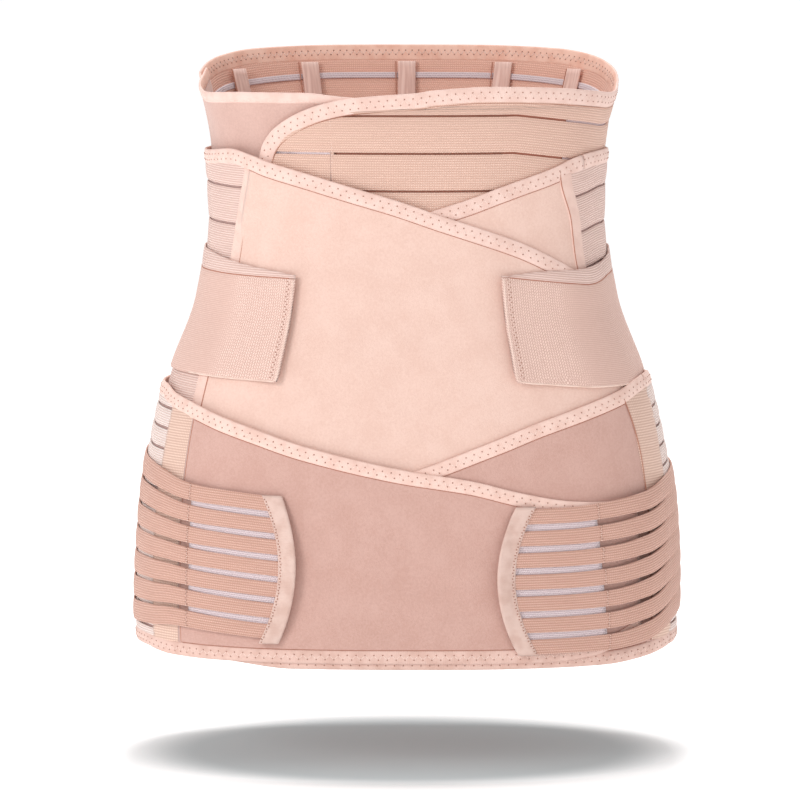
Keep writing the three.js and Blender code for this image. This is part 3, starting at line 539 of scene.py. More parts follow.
def netting(name, colour, hole):
    """Fine knitted net: small holes in offset rows."""
    look = Look(name)
    row_pitch = 1.3
    rows = look.wave(look.across, row_pitch)
    offset = look.math("MULTIPLY", look.across, math.pi / (row_pitch * METRES))
    columns = look.wave(look.along, 1.1, offset)
    open_part = look.math("MULTIPLY", rows, columns)
    tone = look.mix(look.window(open_part, 0.3, 0.75), srgb(*colour), srgb(*hole))
    height = look.math("SUBTRACT", 1.0, open_part)
    return look.finish(tone, height, depth=0.35, roughness=0.8, sheen=0.2)


def satin(name, colour, shade):
    look = Look(name)
    weave = look.wave(look.along, 0.8)
    slow = look.stretched_noise(30.0, 2.5)
    tone = look.mix(look.window(slow, 0.3, 0.7), srgb(*colour), srgb(*shade))
    return look.finish(tone, weave, depth=0.05, roughness=0.42, sheen=0.2)


def thread(name, colour):
    look = Look(name)
    dull = [channel * 0.93 for channel in colour]
    tone = look.mix(look.noise(2.0), srgb(*colour), srgb(*dull))
    return look.finish(tone, look.wave(look.along, 0.5), depth=0.05, roughness=0.7)


BELLY_VELOUR = velour("belly velour", (233, 200, 187), (225, 189, 175))
WAIST_VELOUR = velour("waist velour", (213, 177, 166), (203, 166, 155))
PELVIS_VELOUR = velour("pelvis velour", (208, 169, 158), (199, 158, 146))
BINDING_TAPE = folded_binding("binding tape", (237, 205, 194), (229, 194, 182))
PELVIS_TAPE = folded_binding("pelvis binding tape", (240, 207, 195), (231, 194, 181))
# The hem tape is the pelvis binding tape made darker: painted shade at the hem, where it curves under.
PELVIS_TAPE_HEM_SHADE = folded_binding("pelvis binding tape, painted hem shade", (227, 192, 180), (215, 177, 164))
WAIST_ELASTIC = elastic("waist elastic", (242, 208, 192), (210, 170, 153), pitch=1.6, knit=1.55, dots=0.75)
# This line and the next: the waist elastic and the binding tape again, warmer, for their inner faces: painted
# shade of the ring's dim inside.
WAIST_ELASTIC_INSIDE_SHADE = elastic("waist elastic inside, painted shade", (252, 208, 190), (224, 174, 156), knit=1.4, dots=0.8)
BINDING_TAPE_INSIDE_SHADE = folded_binding("binding tape inside, painted shade", (244, 202, 184), (234, 184, 164))
BELLY_ELASTIC = elastic("belly elastic", (242, 215, 206), (208, 173, 162))
PELVIS_ELASTIC = elastic("pelvis elastic", (243, 228, 222), (216, 190, 181))
FAN_ELASTIC = elastic("fan elastic", (227, 187, 172), (192, 147, 131), pitch=1.6, knit=1.5, dots=0.7)
STRAP_KNIT = jacquard("strap knit", (248, 219, 208), (204, 165, 152), 60.0)
STRAP_EDGE = folded_binding("strap hem", (243, 216, 203), (232, 200, 186))
SEAM_TAPE = elastic("seam tape", (238, 209, 193), (204, 168, 152), pitch=1.7, knit=1.7, depth=0.12, dots=0.7)
SMOOTH_TAPE = folded_binding("smooth seam tape", (234, 201, 189), (226, 191, 179))
TAB_CLOTH = folded_binding("crescent tab", (219, 190, 179), (207, 174, 162))
NET = netting("net", (228, 212, 215), (194, 170, 177))
# A net in the elastic's shade colour for behind the slots: partly net, partly painted shade in the slots.
SLOT_NET_AND_SHADE = netting("slot net, painted slot shade", (190, 156, 149), (164, 129, 121))
CASING_SATIN = satin("casing satin", (238, 204, 192), (214, 174, 162))
PALE_THREAD = thread("pale thread", (246, 219, 208))
# Dark beads at each needle hole: painted shade in the holes.
HOLE_SHADE = thread("needle hole shade", (180, 133, 117))
# This colour draws real seam lines, and also painted shadow behind the open front slots and painted shade in
# the creases beside the tapes.
DARK_SEAM_AND_SHADOW = thread("dark seam and painted shadow", (188, 128, 108))

# The waist wrap: heights of its edges, by bearing

WAIST_TOP = [
    (-43, 40), (-41, 46), (-37.7, 52.8), (-32.8, 60.5), (-26.9, 67.3), (-22.8, 70.5), (-16.2, 73.0),
    (-9.8, 73.6), (-1.9, 74.8), (8.6, 78), (21.4, 79.8), (29.3, 79.5), (41, 78.3), (57.7, 75.2),
    (69, 73.5), (90, 77.5), (111, 86.5), (126, 93), (138, 96.3), (163, 98), (197, 98), (222, 96.3),
    (234, 93), (249, 86.5), (256, 83.7),
]
WAIST_UNDER_TOP = [
    (-111, 86.5), (-90, 77), (-69, 73.6), (-46.8, 75.2), (-28.3, 75.6), (-17.8, 73.3), (0, 70),
    (20, 67), (28, 66),
]
WAIST_DRIFT = [
    (30, 0), (54, -6.2), (69, -9), (90, -6.2), (126, 11), (163, 16.5), (197, 16.5), (234, 11), (256, 0),
]
WAIST_BOTTOM = -61.0
WAIST_FIRST_SLOT = 61.1
WAIST_SLOTS = 5
WAIST_END = 256.0
WRAP_LEVEL = [(238, 0.0), (253, -1.0)]
FLAP_START = -41.2
UNDER_START, UNDER_END = -110.0, 27.5
UNDER_LEVEL = [(-103, -3.4), (-92, -2.0), (-62, -2.0), (-49, -3.4)]
UNDER_ROW = 5.6
VERTICAL_SEAM = -21.0
NET_START = 47.0
CASING_BEARINGS = (130, 153, 180, 207, 230)
CASING_WIDTH = 12.0
CASING_SHORTER = (10.0, 11.0)
CASING_SEAM = 3.1

# The bearing at which the flap's own cloth starts, by height, inside the corner of its binding
FLAP_EDGE = [
    (-61, -41), (30, -41), (38, -39.5), (46, -36.5), (53, -32.3), (60, -26), (64.5, -20), (67, -12),
]

# The flap binding's middle, up the flap's end, round its corner and along the top
FLAP_CORNER = [
    (-41.4, -58), (-41.4, 0), (-41.3, 28), (-40.2, 37), (-37.6, 45.2), (-33, 52.8), (-27.6, 59.2),
    (-22, 63.8), (-15, 67.2), (-6, 69.2), (3, 70.8),
]


def make_waist_elastic(edges):
    strips = Cloth()
    level = raised(WRAP_LEVEL, ELASTIC_INSET)
    for low, high in edges:
        strips.shell(FLAP_EDGE, WAIST_END, low, high, level, ELASTIC, CROWN, step=2.6, rows=6)
    start, end = VERTICAL_SEAM - 0.5, VERTICAL_SEAM + 0.5
    low, high = WAIST_BOTTOM + 4, raised(WAIST_TOP, -8)
    strips.shell(start, end, low, high, LEVEL_WAIST + 0.3, thick=1.1, crown=0.1, rows=48)
    seam = [(VERTICAL_SEAM, WAIST_BOTTOM + 6), (VERTICAL_SEAM, 62)]
    sew(seam, LEVEL_WAIST + 1.75, pitch=2.4, length=1.7, slant=12, holed=False)
    piece = strips.make("waist_strips", WAIST_ELASTIC, "waist_elastic", ["waist_elastic"], WAIST_ELASTIC_INSIDE_SHADE)


def make_waist_net(middles):
    """Pale net behind the slots at the back and in the flap, and across the front a dark strip behind the
    open slots: painted shadow.
    """
    net = Cloth()
    for middle in middles:
        net.shell(NET_START, WAIST_END - 1, *band(middle, NET_HEIGHT), LEVEL_BAND, MESH, step=4, rows=3)
        # A dark strip behind each open front slot: painted shadow.
        slot_shadow_level = LEVEL_BAND + 0.2
        seams_and_shadows.shell(VERTICAL_SEAM, NET_START, *band(middle, 2.8), slot_shadow_level, thick=0.6, step=4, rows=3)
    low, high = WAIST_BOTTOM + 6, raised(WAIST_TOP, -9)
    net.shell(FLAP_EDGE, VERTICAL_SEAM, low, high, LEVEL_BAND, MESH, step=4, rows=5)
    nodes = [f"waist_mesh_{i + 1}" for i in range(WAIST_SLOTS)] + ["waist_mesh_end"]
    piece = net.make("waist_mesh_strips", NET, "mesh", nodes)


def make_waist_bindings():
    half = FLAP_BINDING_WIDTH / 2
    path = FLAP_CORNER + edge_path(WAIST_TOP, 6, WAIST_END, half)
    tape = Cloth().ribbon(path, FLAP_BINDING_WIDTH, WRAP_LEVEL, BINDING, CROWN)
    zigzag(path, raised(WRAP_LEVEL, BINDING + THREAD_RISE))
    # A dark line along the flap binding's inner edge: partly a seam, partly painted shade in the crease.
    crease = beside(FLAP_CORNER + edge_path(WAIST_TOP, 6, 92, half), -half - CREASE_GAP)
    seams_and_shadows.ribbon(crease, width=0.45, level=LEVEL_WAIST + 1.45, thick=0.5)
    inner_row = edge_path(WAIST_TOP, 100, WAIST_END, half)
    zigzag(inner_row, raised(WRAP_LEVEL, -0.1), spread=2.8, pitch=2.2)
    piece = tape.make("waist_binding_top", BINDING_TAPE, "binding", ["waist_binding_wrap"], BINDING_TAPE_INSIDE_SHADE)
    hem = raised(WAIST_DRIFT, WAIST_BOTTOM + BINDING_WIDTH)
    path = edge_path(hem, FLAP_START, WAIST_END, BINDING_WIDTH / 2)
    tape = Cloth().ribbon(path, BINDING_WIDTH, WRAP_LEVEL, BINDING, CROWN)
    piece = tape.make("waist_binding_hem", BINDING_TAPE, "binding", ["waist_binding_bottom"])


def make_waist_velour():
    top = raised(WAIST_UNDER_TOP, -UNDER_BINDING_WIDTH + TUCK)
    level = raised(UNDER_LEVEL, CLOTH_INSET)
    end = Cloth().shell(UNDER_START, UNDER_END, WAIST_BOTTOM, top, level, CLOTH, step=3.2, rows=30)
    piece = end.make("waist_velour_panel", WAIST_VELOUR, "waist_velour", ["waist_velour_end"])
    row = edge_path(WAIST_UNDER_TOP, UNDER_START, UNDER_END, UNDER_ROW)
    sew(row, raised(UNDER_LEVEL, BINDING + 0.2), pitch=2.6, length=1.9, holed=False)
    path = edge_path(WAIST_UNDER_TOP, UNDER_START, UNDER_END, UNDER_BINDING_WIDTH / 2)
    rim = Cloth().ribbon(path, UNDER_BINDING_WIDTH, UNDER_LEVEL, BINDING, CROWN)
    piece = rim.make("waist_binding_velour", BINDING_TAPE, "binding", ["waist_binding_under"], BINDING_TAPE_INSIDE_SHADE)


def make_casings():
    top, drift = as_line(WAIST_TOP), as_line(WAIST_DRIFT)
    for i, bearing in enumerate(CASING_BEARINGS):
        low = float(drift(bearing)) + WAIST_BOTTOM + CASING_SHORTER[0]
        high = float(top(bearing)) - CASING_SHORTER[1]
        path = [(bearing, low), (bearing, high)]
        sleeve = Cloth().ribbon(path, CASING_WIDTH, LEVEL_CASING, CASING, step=4, rows=7)
        piece = sleeve.make(f"waist_casing_{i + 1}_sleeve", CASING_SATIN, "casing", [f"waist_casing_{i + 1}"])
        path = [(bearing + CASING_SEAM, low), (bearing + CASING_SEAM, high)]
        seams_and_shadows.ribbon(path, width=0.8, level=LEVEL_CASING + 0.6, thick=0.6)


def make_waist_wrap():
    top = raised(WAIST_TOP, -FLAP_BINDING_WIDTH + TUCK)
    bottom = raised(WAIST_DRIFT, WAIST_BOTTOM + BOUND)
    middles = slot_middles(WAIST_DRIFT, WAIST_FIRST_SLOT, STRIP_PITCH, WAIST_SLOTS)
    make_waist_elastic(strip_edges(top, bottom, middles, SLOT))
    make_waist_net(middles)
    make_waist_bindings()
    make_waist_velour()
    make_casings()


# The belly wrap: heights of its edges, by bearing

BELLY_OVER_TOP = [
    (-54.7, 38.2), (-44.4, 34.6), (-40.4, 31.7), (-29.1, 24.6), (-15.6, 15.4), (-2, 6.0), (8.3, -2.3),
    (20.1, -11.5), (31.2, -21), (42, -33), (49, -41),
]
BELLY_UNDER_TOP = [
    (-41, -45), (-17, -22), (0, -6.4), (7.8, 0.2), (17.4, 7.2), (25.6, 14.2), (31.8, 19), (44.4, 27.8),
    (50.3, 32.4), (60, 35.5), (74, 36.3),
]
BELLY_BACK_TOP = [(54, 34.0), (60, 35.5), (74, 36.3), (100, 34.5), (260, 34.5), (285, 35.5), (300, 37.5)]
BELLY_BOTTOM = [(-54, -150), (-42, -165), (-17, -184), (17, -184), (42, -165), (54, -150)]
BELLY_LOW = -150.0
BELLY_SLOT_DRIFT = [(50, -5.5), (70, 0), (180, 0), (285, 2), (309, 1)]
BELLY_FIRST_SLOT = 12.3
BELLY_SLOTS = 7
BELLY_OVER_START, BELLY_OVER_END = -305.5, 49.0
BELLY_UNDER_START, BELLY_UNDER_END = -41.0, 54.0
BELLY_HEM_END = 306.0

# Bearings by height: the over panel's end and the seam tapes' middles. OVER_RISE is the level by
# bearing at which an over panel climbs onto the under one.
BELLY_OVER_FRONT = [(-108, 58), (-96, BELLY_OVER_END)]
BELLY_TAPE_LEFT = [(-45.4, 28), (-46.0, 23), (-51.7, -23), (-53, -60), (-53.6, -148)]
BELLY_TAPE_RIGHT = [(46.4, 24), (47, 16.5), (51.5, -10), (53, -40), (57, -80), (66.5, -112), (69, -148)]
BELLY_TAPE_WIDTH = 10.0
BELLY_SEAM_ASIDE = 2.15
OVER_RISE = [(-54, 0.0), (-42, 2.2)]
BELLY_OVER_LEVEL = raised(OVER_RISE, LEVEL_BELLY)

STRAP_LEFT_TOP = [(-125, -41), (-71, -42), (-50, -43), (-29, -43.8)]
STRAP_LEFT_LOW = [(-125, -108), (-70, -108), (-29, -110)]
STRAP_RIGHT_TOP = [(24.5, -42.2), (35.9, -45.7), (47.6, -48.8), (54, -50), (69, -46), (90, -43)]
STRAP_RIGHT_LOW = [(24.5, -110), (31, -111.8), (48, -115.6), (59, -115.8), (75, -111), (90, -109)]
NARROW_LEFT = [(-90, -28.7), (-70.9, -29.3), (-58.6, -32.2), (-50.2, -34.9), (-28.7, -41.5)]
NARROW_RIGHT = [
    (25, -41.6), (27.5, -41.2), (37.7, -39.6), (49.3, -39.6), (55, -38.8), (66.8, -35.9), (90, -29),
]
STRAP_LEFT_LEVEL = [(-69, 4.4), (-54, 4.9), (-42, 6.6)]
STRAP_RIGHT_LEVEL = [(42, 6.6), (54, 6.3), (69, 4.4)]
STRAPS = (
    # side, sign, tip's bearing, lower edge, upper edge, narrow ply's upper edge, level
    ("left", LEFT, 29.3, STRAP_LEFT_LOW, STRAP_LEFT_TOP, NARROW_LEFT, STRAP_LEFT_LEVEL),
    ("right", RIGHT, 24.5, STRAP_RIGHT_LOW, STRAP_RIGHT_TOP, NARROW_RIGHT, STRAP_RIGHT_LEVEL),
)
STRAP_TAIL = 125.0
STRAP_LIFT = 3.2
STRAP_LIFT_SPAN = 9.0
STRAP_CORNER = 2.6
HEM_END = 60.0


def tape_edge(path, aside=0.0):
    """The bearing of a line beside a tape, by height."""
    bearings, heights = np.array(path, float).T
    order = np.argsort(heights)
    return smooth(np.stack([heights[order], bearings[order] + aside], -1))


def make_belly_bindings():
    half = BINDING_WIDTH / 2
    line = a_turn_back(BELLY_BACK_TOP) + BELLY_OVER_TOP
    crease = edge_path(BELLY_OVER_TOP, -45, BELLY_OVER_END - 1, half)
    path = edge_path(line, BELLY_OVER_START, BELLY_OVER_END, half)
    tape = bind(path, BINDING_WIDTH, BELLY_OVER_LEVEL, crease)
    piece = tape.make("belly_binding_front", BINDING_TAPE, "binding", ["belly_binding_over"])
    crease = edge_path(BELLY_UNDER_TOP, 0, 45.5, half)
    path = edge_path(BELLY_UNDER_TOP, BELLY_UNDER_START, BELLY_UNDER_END, half)
    tape = bind(path, BINDING_WIDTH, LEVEL_BELLY, crease)
    piece = tape.make("belly_binding_inner", BINDING_TAPE, "binding", ["belly_binding_under"])


def make_belly_velour(left, right):
    top, level = raised(BELLY_OVER_TOP, -BOUND), raised(BELLY_OVER_LEVEL, CLOTH_INSET)
    panel = Cloth().shell(left, BELLY_OVER_FRONT, BELLY_BOTTOM, top, level, CLOTH, step=3.5, rows=44)
    piece = panel.make("belly_velour_front", BELLY_VELOUR, "belly_velour", ["belly_panel_over"])
    top, level = raised(BELLY_UNDER_TOP, -BOUND), LEVEL_BELLY + CLOTH_INSET
    panel = Cloth().shell(BELLY_UNDER_START, right, BELLY_BOTTOM, top, level, CLOTH, step=3.5, rows=44)
    piece = panel.make("belly_velour_inner", BELLY_VELOUR, "belly_velour", ["belly_panel_under"])


def make_belly_elastic(start, end):
    middles = slot_middles(BELLY_SLOT_DRIFT, BELLY_FIRST_SLOT, STRIP_PITCH, BELLY_SLOTS)
    top, bottom = raised(BELLY_BACK_TOP, -BOUND), BELLY_LOW + BOUND
    strips, net = Cloth(), Cloth()
    for low, high in strip_edges(top, bottom, middles, BELLY_SLOT):
        strips.shell(start, end, low, high, LEVEL_BELLY + ELASTIC_INSET, ELASTIC, CROWN, rows=6)
    piece = strips.make("belly_strips", BELLY_ELASTIC, "belly_elastic", ["belly_elastic"])
    # Net behind the slots in the elastic's shade colour: partly net, partly painted shade in the slots.
    for middle in middles:
        low, high = band(middle, NET_HEIGHT)
        net.shell(start, end, low, high, LEVEL_BELLY + 0.06, thick=0.22, step=3.5, rows=3)
    piece = net.make("belly_slot_net_and_shade", SLOT_NET_AND_SHADE, "mesh")
    path = edge_path(BELLY_LOW + BINDING_WIDTH, BELLY_UNDER_END, BELLY_HEM_END, BINDING_WIDTH / 2)
    tape = Cloth().ribbon(path, BINDING_WIDTH, LEVEL_BELLY, BINDING, CROWN)
    piece = tape.make("belly_binding_hem", BINDING_TAPE, "binding", ["belly_binding_bottom"])


def make_belly_seam_tapes():
    for side, sign, path in (("left", LEFT, BELLY_TAPE_LEFT), ("right", RIGHT, BELLY_TAPE_RIGHT)):
        tape = Cloth().ribbon(path, BELLY_TAPE_WIDTH, LEVEL_BELLY + 0.6, thick=1.4, crown=0.1, step=3, rows=6)
        piece = tape.make(f"belly_seam_tape_{side}", SMOOTH_TAPE, "tape", [f"belly_tape_{side}"])
        seam = [(b - sign * BELLY_SEAM_ASIDE, z) for b, z in path]
        seams_and_shadows.ribbon(seam, SEAM_WIDTH, LEVEL_BELLY + 1.75, SEAM_THICK)


def strap_level(levels, sign, front):
    """How far out a strap lies: its tip stands off the cloth."""
    line = smooth(levels)

    def level(bearing):
        near_tip = np.clip(1 - (sign * bearing - front) / STRAP_LIFT_SPAN, 0, 1)
        return line(bearing) + STRAP_LIFT * near_tip**1.6

    return level


def corner_end(tip, sign, low):
    """A strap's end, straight but for its rounded lower corner, as a bearing by height."""

    def value(z):
        drop = np.clip(low + STRAP_CORNER - np.asarray(z, float), 0, STRAP_CORNER)
        return tip + sign * (STRAP_CORNER - np.sqrt(STRAP_CORNER**2 - drop**2)) / 2.1

    return value


def strap_hem_path(tip, sign, low, low_z, high_z):
    """Down a strap's end, round its corner and along its lower edge."""
    inset = sign * 0.45
    down = [(tip + inset, high_z - 1), (tip + inset, high_z - 20), (tip + inset, low_z + 6)]
    corner = [(tip + inset * 1.4, low_z + 2), (tip + inset * 3, low_z + 0.9)]
    bearings = np.linspace(tip + sign * 3.5, sign * HEM_END, 8)
    return down + corner + [(b, float(low(b)) + 0.8) for b in bearings]


def make_strap(side, sign, front, low, top, narrow, levels):
    low, top = as_line(low), as_line(top)
    tip, tail = sign * front, sign * STRAP_TAIL
    low_z, high_z = float(low(tip)), float(top(tip))
    level, turned = strap_level(levels, sign, front), sign == LEFT
    ends = ends_in_order(sign, tail, corner_end(tip, sign, low_z))
    wide = Cloth().shell(*ends, low, top, level, STRAP, step=2.4, rows=22, back=turned)
    piece = wide.make(f"belly_strap_{side}", STRAP_KNIT, "strap", [f"belly_strap_wide_{side}"])
    ends = ends_in_order(sign, tail, tip)
    thin = Cloth().shell(*ends, raised(top, 0.3), narrow, level, ELASTIC, 0.3, step=2.4, rows=6, back=turned)
    piece = thin.make(f"belly_strap_upper_{side}", BELLY_ELASTIC, "strap", [f"belly_strap_narrow_{side}"])
    fold = edge_path(top, tip + sign * 2, sign * 100, -0.1)
    seams_and_shadows.ribbon(fold, width=0.8, level=raised(level, 0.7), thick=SEAM_THICK)
    hem_path = strap_hem_path(tip, sign, low, low_z, high_z)
    hem = Cloth().ribbon(hem_path, 1.6, raised(level, 0.12), STRAP, crown=0.2, step=2, rows=4)
    hem.make(f"belly_strap_hem_{side}", STRAP_EDGE, "strap")
    outer = raised(level, STRAP + 0.1)
    row = tip + sign * 1.9
    sew([(row, high_z - 1), (row, low_z + 4)], outer, pitch=1.6, length=1.9, slant=40)
    for inward in (2.0, 5.5):
        row = sign * (STRAP_TAIL - inward)
        sew([(row, float(low(row)) + 2), (row, float(top(row)) - 2)], outer, pitch=2.6, length=2.2)


def make_belly_wrap():
    left, right = tape_edge(BELLY_TAPE_LEFT), tape_edge(BELLY_TAPE_RIGHT)
    make_belly_bindings()
    make_belly_velour(left, right)
    make_belly_elastic(right, raised(left, 360))
    make_belly_seam_tapes()
    for strap in STRAPS:
        make_strap(*strap)


# The pelvis wrap: heights of its edges, by bearing

PELVIS_OVER_TOP = [
    (-90, -117), (-73.9, -117.2), (-64.7, -121), (-51.6, -126.9), (-35, -139), (-22.3, -150.5),
    (-1.5, -164.9), (13.5, -172.5), (24.1, -181), (34.2, -186.8), (42, -188.3), (52, -188.5),
]
PELVIS_UNDER_TOP = [
    (-41, -206), (-17, -184), (2.3, -165.9), (18.6, -148), (30.6, -135.2), (48.4, -121.6), (55, -117.6),
    (62, -113), (68, -110.6),
]
PELVIS_OVER_BOTTOM = [
    (-90, -288.3), (-69, -288.3), (-54, -291), (28, -291), (38, -288.5), (45, -283), (52, -275),
]
PELVIS_UNDER_BOTTOM = [(-41, -290), (-33, -292.6), (-24, -295), (42, -295), (54, -292.8), (69, -288.3)]
PELVIS_BACK_TOP = [(68, -110.6), (78, -110), (92, -112.5), (120, -116), (180, -119.5), (262, -118)]
PELVIS_LOW = -288.3
PELVIS_FIRST_SLOT = -130.0
PELVIS_SLOTS = 12
PELVIS_SLOT_DRIFT = [(68, -2.2), (90, 0), (115, 3), (180, 4), (245, 3), (270, 0), (298, -2.2)]
PELVIS_OVER_START, PELVIS_OVER_END = -291.5, 52.0
PELVIS_UNDER_START, PELVIS_UNDER_END = -41.0, 68.4
PELVIS_PANEL_START = -51.5
PELVIS_OVER_LEVEL = raised(OVER_RISE, LEVEL_PELVIS)

# The seam tapes' edges: bearings, by height beside the velour
PELVIS_SEAM_LEFT = [(-300, -50.4), (-120, -51)]
PELVIS_SEAM_RIGHT = [(-300, 57.5), (-165, 57), (-120, 54)]
PELVIS_TAPE_LEFT = (-62.4, PELVIS_SEAM_LEFT)
PELVIS_TAPE_RIGHT = (PELVIS_SEAM_RIGHT, 69.5)

# The fans: the edges of their first and last strips, a strip's width by bearing, and the tabs
FAN_LEFT_TOP = [
    (-150, -162), (-90, -164), (-69, -166.8), (-58.6, -170.5), (-49, -176.2), (-35, -180.4), (-25, -183.3),
]
FAN_LEFT_LOW = [(-150, -275), (-90, -275), (-60, -272.5), (-51.9, -270.8), (-28, -275), (-22, -276.5)]
FAN_RIGHT_TOP = [(20, -191), (32, -190.4), (42, -188), (54, -183.6), (69, -176.8), (90, -173), (150, -171)]
FAN_RIGHT_LOW = [(20, -285), (42, -284.6), (54, -280.5), (69, -271.5), (90, -266), (150, -266)]
FAN_STRIPS = 7
FAN_STRIP_WIDTH = [(0, 9.4), (30, 9.8), (46, 10.9), (58, 12.6), (70, 13.6), (90, 13.8)]
FAN_TAIL = 150.0
FAN_RISE = 1.4
FAN_SIDE_LEVEL = LEVEL_PELVIS + 2.2
FAN_LEFT_LEVEL = [(-69, FAN_SIDE_LEVEL - 1.4), (-54, FAN_SIDE_LEVEL), (-42, LEVEL_FAN_MESH)]
FAN_RIGHT_LEVEL = [(54, LEVEL_FAN_MESH), (69, FAN_SIDE_LEVEL - 1.4)]
NET_END_LEFT = -47.0
NET_END_RIGHT = [(-285, 41.8), (-185, 39.2)]
TAB_WIDTH = 12.2
TAB_LIFT = 2.8
TAB_HALF_HEIGHT = 48.0
TAB_CURVE_HEIGHT = 47.0
TAB_ROW = 4.0


def make_pelvis_bindings():
    top = a_turn_back(PELVIS_BACK_TOP) + PELVIS_OVER_TOP
    low = [(-300, PELVIS_LOW), (-95, PELVIS_LOW)] + PELVIS_OVER_BOTTOM
    over = (PELVIS_OVER_START, PELVIS_OVER_END, PELVIS_OVER_LEVEL)
    under = (PELVIS_UNDER_START, PELVIS_UNDER_END, LEVEL_PELVIS)
    for name, node, line, side, (start, end, level), cloth, length in (
        ("pelvis_binding_front", "pelvis_binding_over", top, -1, over, PELVIS_TAPE, 0.98),
        ("pelvis_binding_inner", "pelvis_binding_under", PELVIS_UNDER_TOP, -1, under, PELVIS_TAPE, 0.33),
        ("pelvis_hem_front", "pelvis_binding_over_bottom", low, 1, over, PELVIS_TAPE_HEM_SHADE, 0.98),
        ("pelvis_hem_inner", "pelvis_binding_under_bottom", PELVIS_UNDER_BOTTOM, 1, under, PELVIS_TAPE_HEM_SHADE, 0.31),
    ):
        below = -side * PELVIS_BINDING_WIDTH / 2
        crease = edge_path(line, max(start, -50), min(end, 56), below)
        path = edge_path(line, start, end, below)
        tape = bind(path, PELVIS_BINDING_WIDTH, level, crease, side, spread=3.0)
        piece = tape.make(name, cloth, "pelvis_binding", [node])


def make_pelvis_velour():
    low, top = raised(PELVIS_OVER_BOTTOM, PELVIS_BOUND), raised(PELVIS_OVER_TOP, -PELVIS_BOUND)
    level, start = raised(PELVIS_OVER_LEVEL, CLOTH_INSET), PELVIS_PANEL_START
    panel = Cloth().shell(start, PELVIS_OVER_END, low, top, level, CLOTH, step=3.5, rows=34)
    piece = panel.make("pelvis_velour_front", PELVIS_VELOUR, "pelvis_velour", ["pelvis_panel_over"])
    low, top = raised(PELVIS_UNDER_BOTTOM, PELVIS_BOUND), raised(PELVIS_UNDER_TOP, -PELVIS_BOUND)
    level, end = LEVEL_PELVIS + CLOTH_INSET, raised(PELVIS_SEAM_RIGHT, 1)
    panel = Cloth().shell(PELVIS_UNDER_START, end, low, top, level, CLOTH, step=3.5, rows=34)
    piece = panel.make("pelvis_velour_inner", PELVIS_VELOUR, "pelvis_velour", ["pelvis_panel_under"])


def make_pelvis_elastic(bottom):
    beyond = [(bearing + 360, z) for bearing, z in PELVIS_OVER_TOP if bearing < -50]
    top = raised(PELVIS_BACK_TOP + beyond, -PELVIS_BOUND)
    middles = slot_middles(PELVIS_SLOT_DRIFT, PELVIS_FIRST_SLOT, PELVIS_PITCH, PELVIS_SLOTS)
    strips = Cloth()
    level = LEVEL_PELVIS + ELASTIC_INSET
    for low, high in strip_edges(top, bottom, middles, FINE_SLOT):
        strips.shell(68, 298, low, high, level, ELASTIC, crown=0.35, step=3.2, rows=5)
    piece = strips.make("pelvis_strips", PELVIS_ELASTIC, "pelvis_elastic", ["pelvis_elastic"])
    # Net behind the strips in the elastic's shade colour: partly net, partly painted shade in the slots.
    net = Cloth().shell(67, 299, bottom, top, LEVEL_PELVIS - 0.8, MESH, step=4, rows=24)
    piece = net.make("pelvis_net_back_and_shade", SLOT_NET_AND_SHADE, "mesh")


def make_pelvis_seam_tapes(bottom):
    for side, ends, seam, line in (
        ("left", PELVIS_TAPE_LEFT, PELVIS_SEAM_LEFT, PELVIS_OVER_TOP),
        ("right", PELVIS_TAPE_RIGHT, PELVIS_SEAM_RIGHT, PELVIS_UNDER_TOP),
    ):
        top = raised(line, -PELVIS_BOUND)
        tape = Cloth().shell(*ends, bottom, top, LEVEL_PELVIS + 0.5, thick=1.3, crown=0.1, step=2.5, rows=16)
        piece = tape.make(f"pelvis_seam_tape_{side}", SEAM_TAPE, "tape", [f"pelvis_tape_{side}"])
        seam = as_line(seam)
        highest = float(top(seam(-120.0)))
        path = [(float(seam(z)), z) for z in np.linspace(bottom, highest, 9)]
        seams_and_shadows.ribbon(path, SEAM_WIDTH, LEVEL_PELVIS + 1.6, SEAM_THICK)


def tab_path(foremost, curve, middle):
    """The middle line of a curved tab, down from its top."""
    top, low = middle + TAB_HALF_HEIGHT, middle - TAB_HALF_HEIGHT
    heights = np.linspace(top, low, 17)
    return [(foremost + curve * ((z - middle) / TAB_CURVE_HEIGHT) ** 2, z) for z in heights]


TAB_LEFT = tab_path(foremost=-23.6, curve=-3.8, middle=-230)
TAB_RIGHT = tab_path(foremost=19.5, curve=4.4, middle=-237.4)
FANS = (
    # side, sign, tab's middle line, top, bottom, level, bearing where the net ends
    ("left", LEFT, TAB_LEFT, FAN_LEFT_TOP, FAN_LEFT_LOW, FAN_LEFT_LEVEL, NET_END_LEFT),
    ("right", RIGHT, TAB_RIGHT, FAN_RIGHT_TOP, FAN_RIGHT_LOW, FAN_RIGHT_LEVEL, NET_END_RIGHT),
)


def fan_strip_edges(k, top, low):
    """The edges of fan strip k, counted down from the top, spread evenly between two lines."""
    top, low, width = as_line(top), as_line(low), as_line(FAN_STRIP_WIDTH)
    share = k / (FAN_STRIPS - 1)

    def high(b):
        return top(b) + (low(b) + width(np.abs(b)) - top(b)) * share

    return (lambda b: high(b) - width(np.abs(b))), high


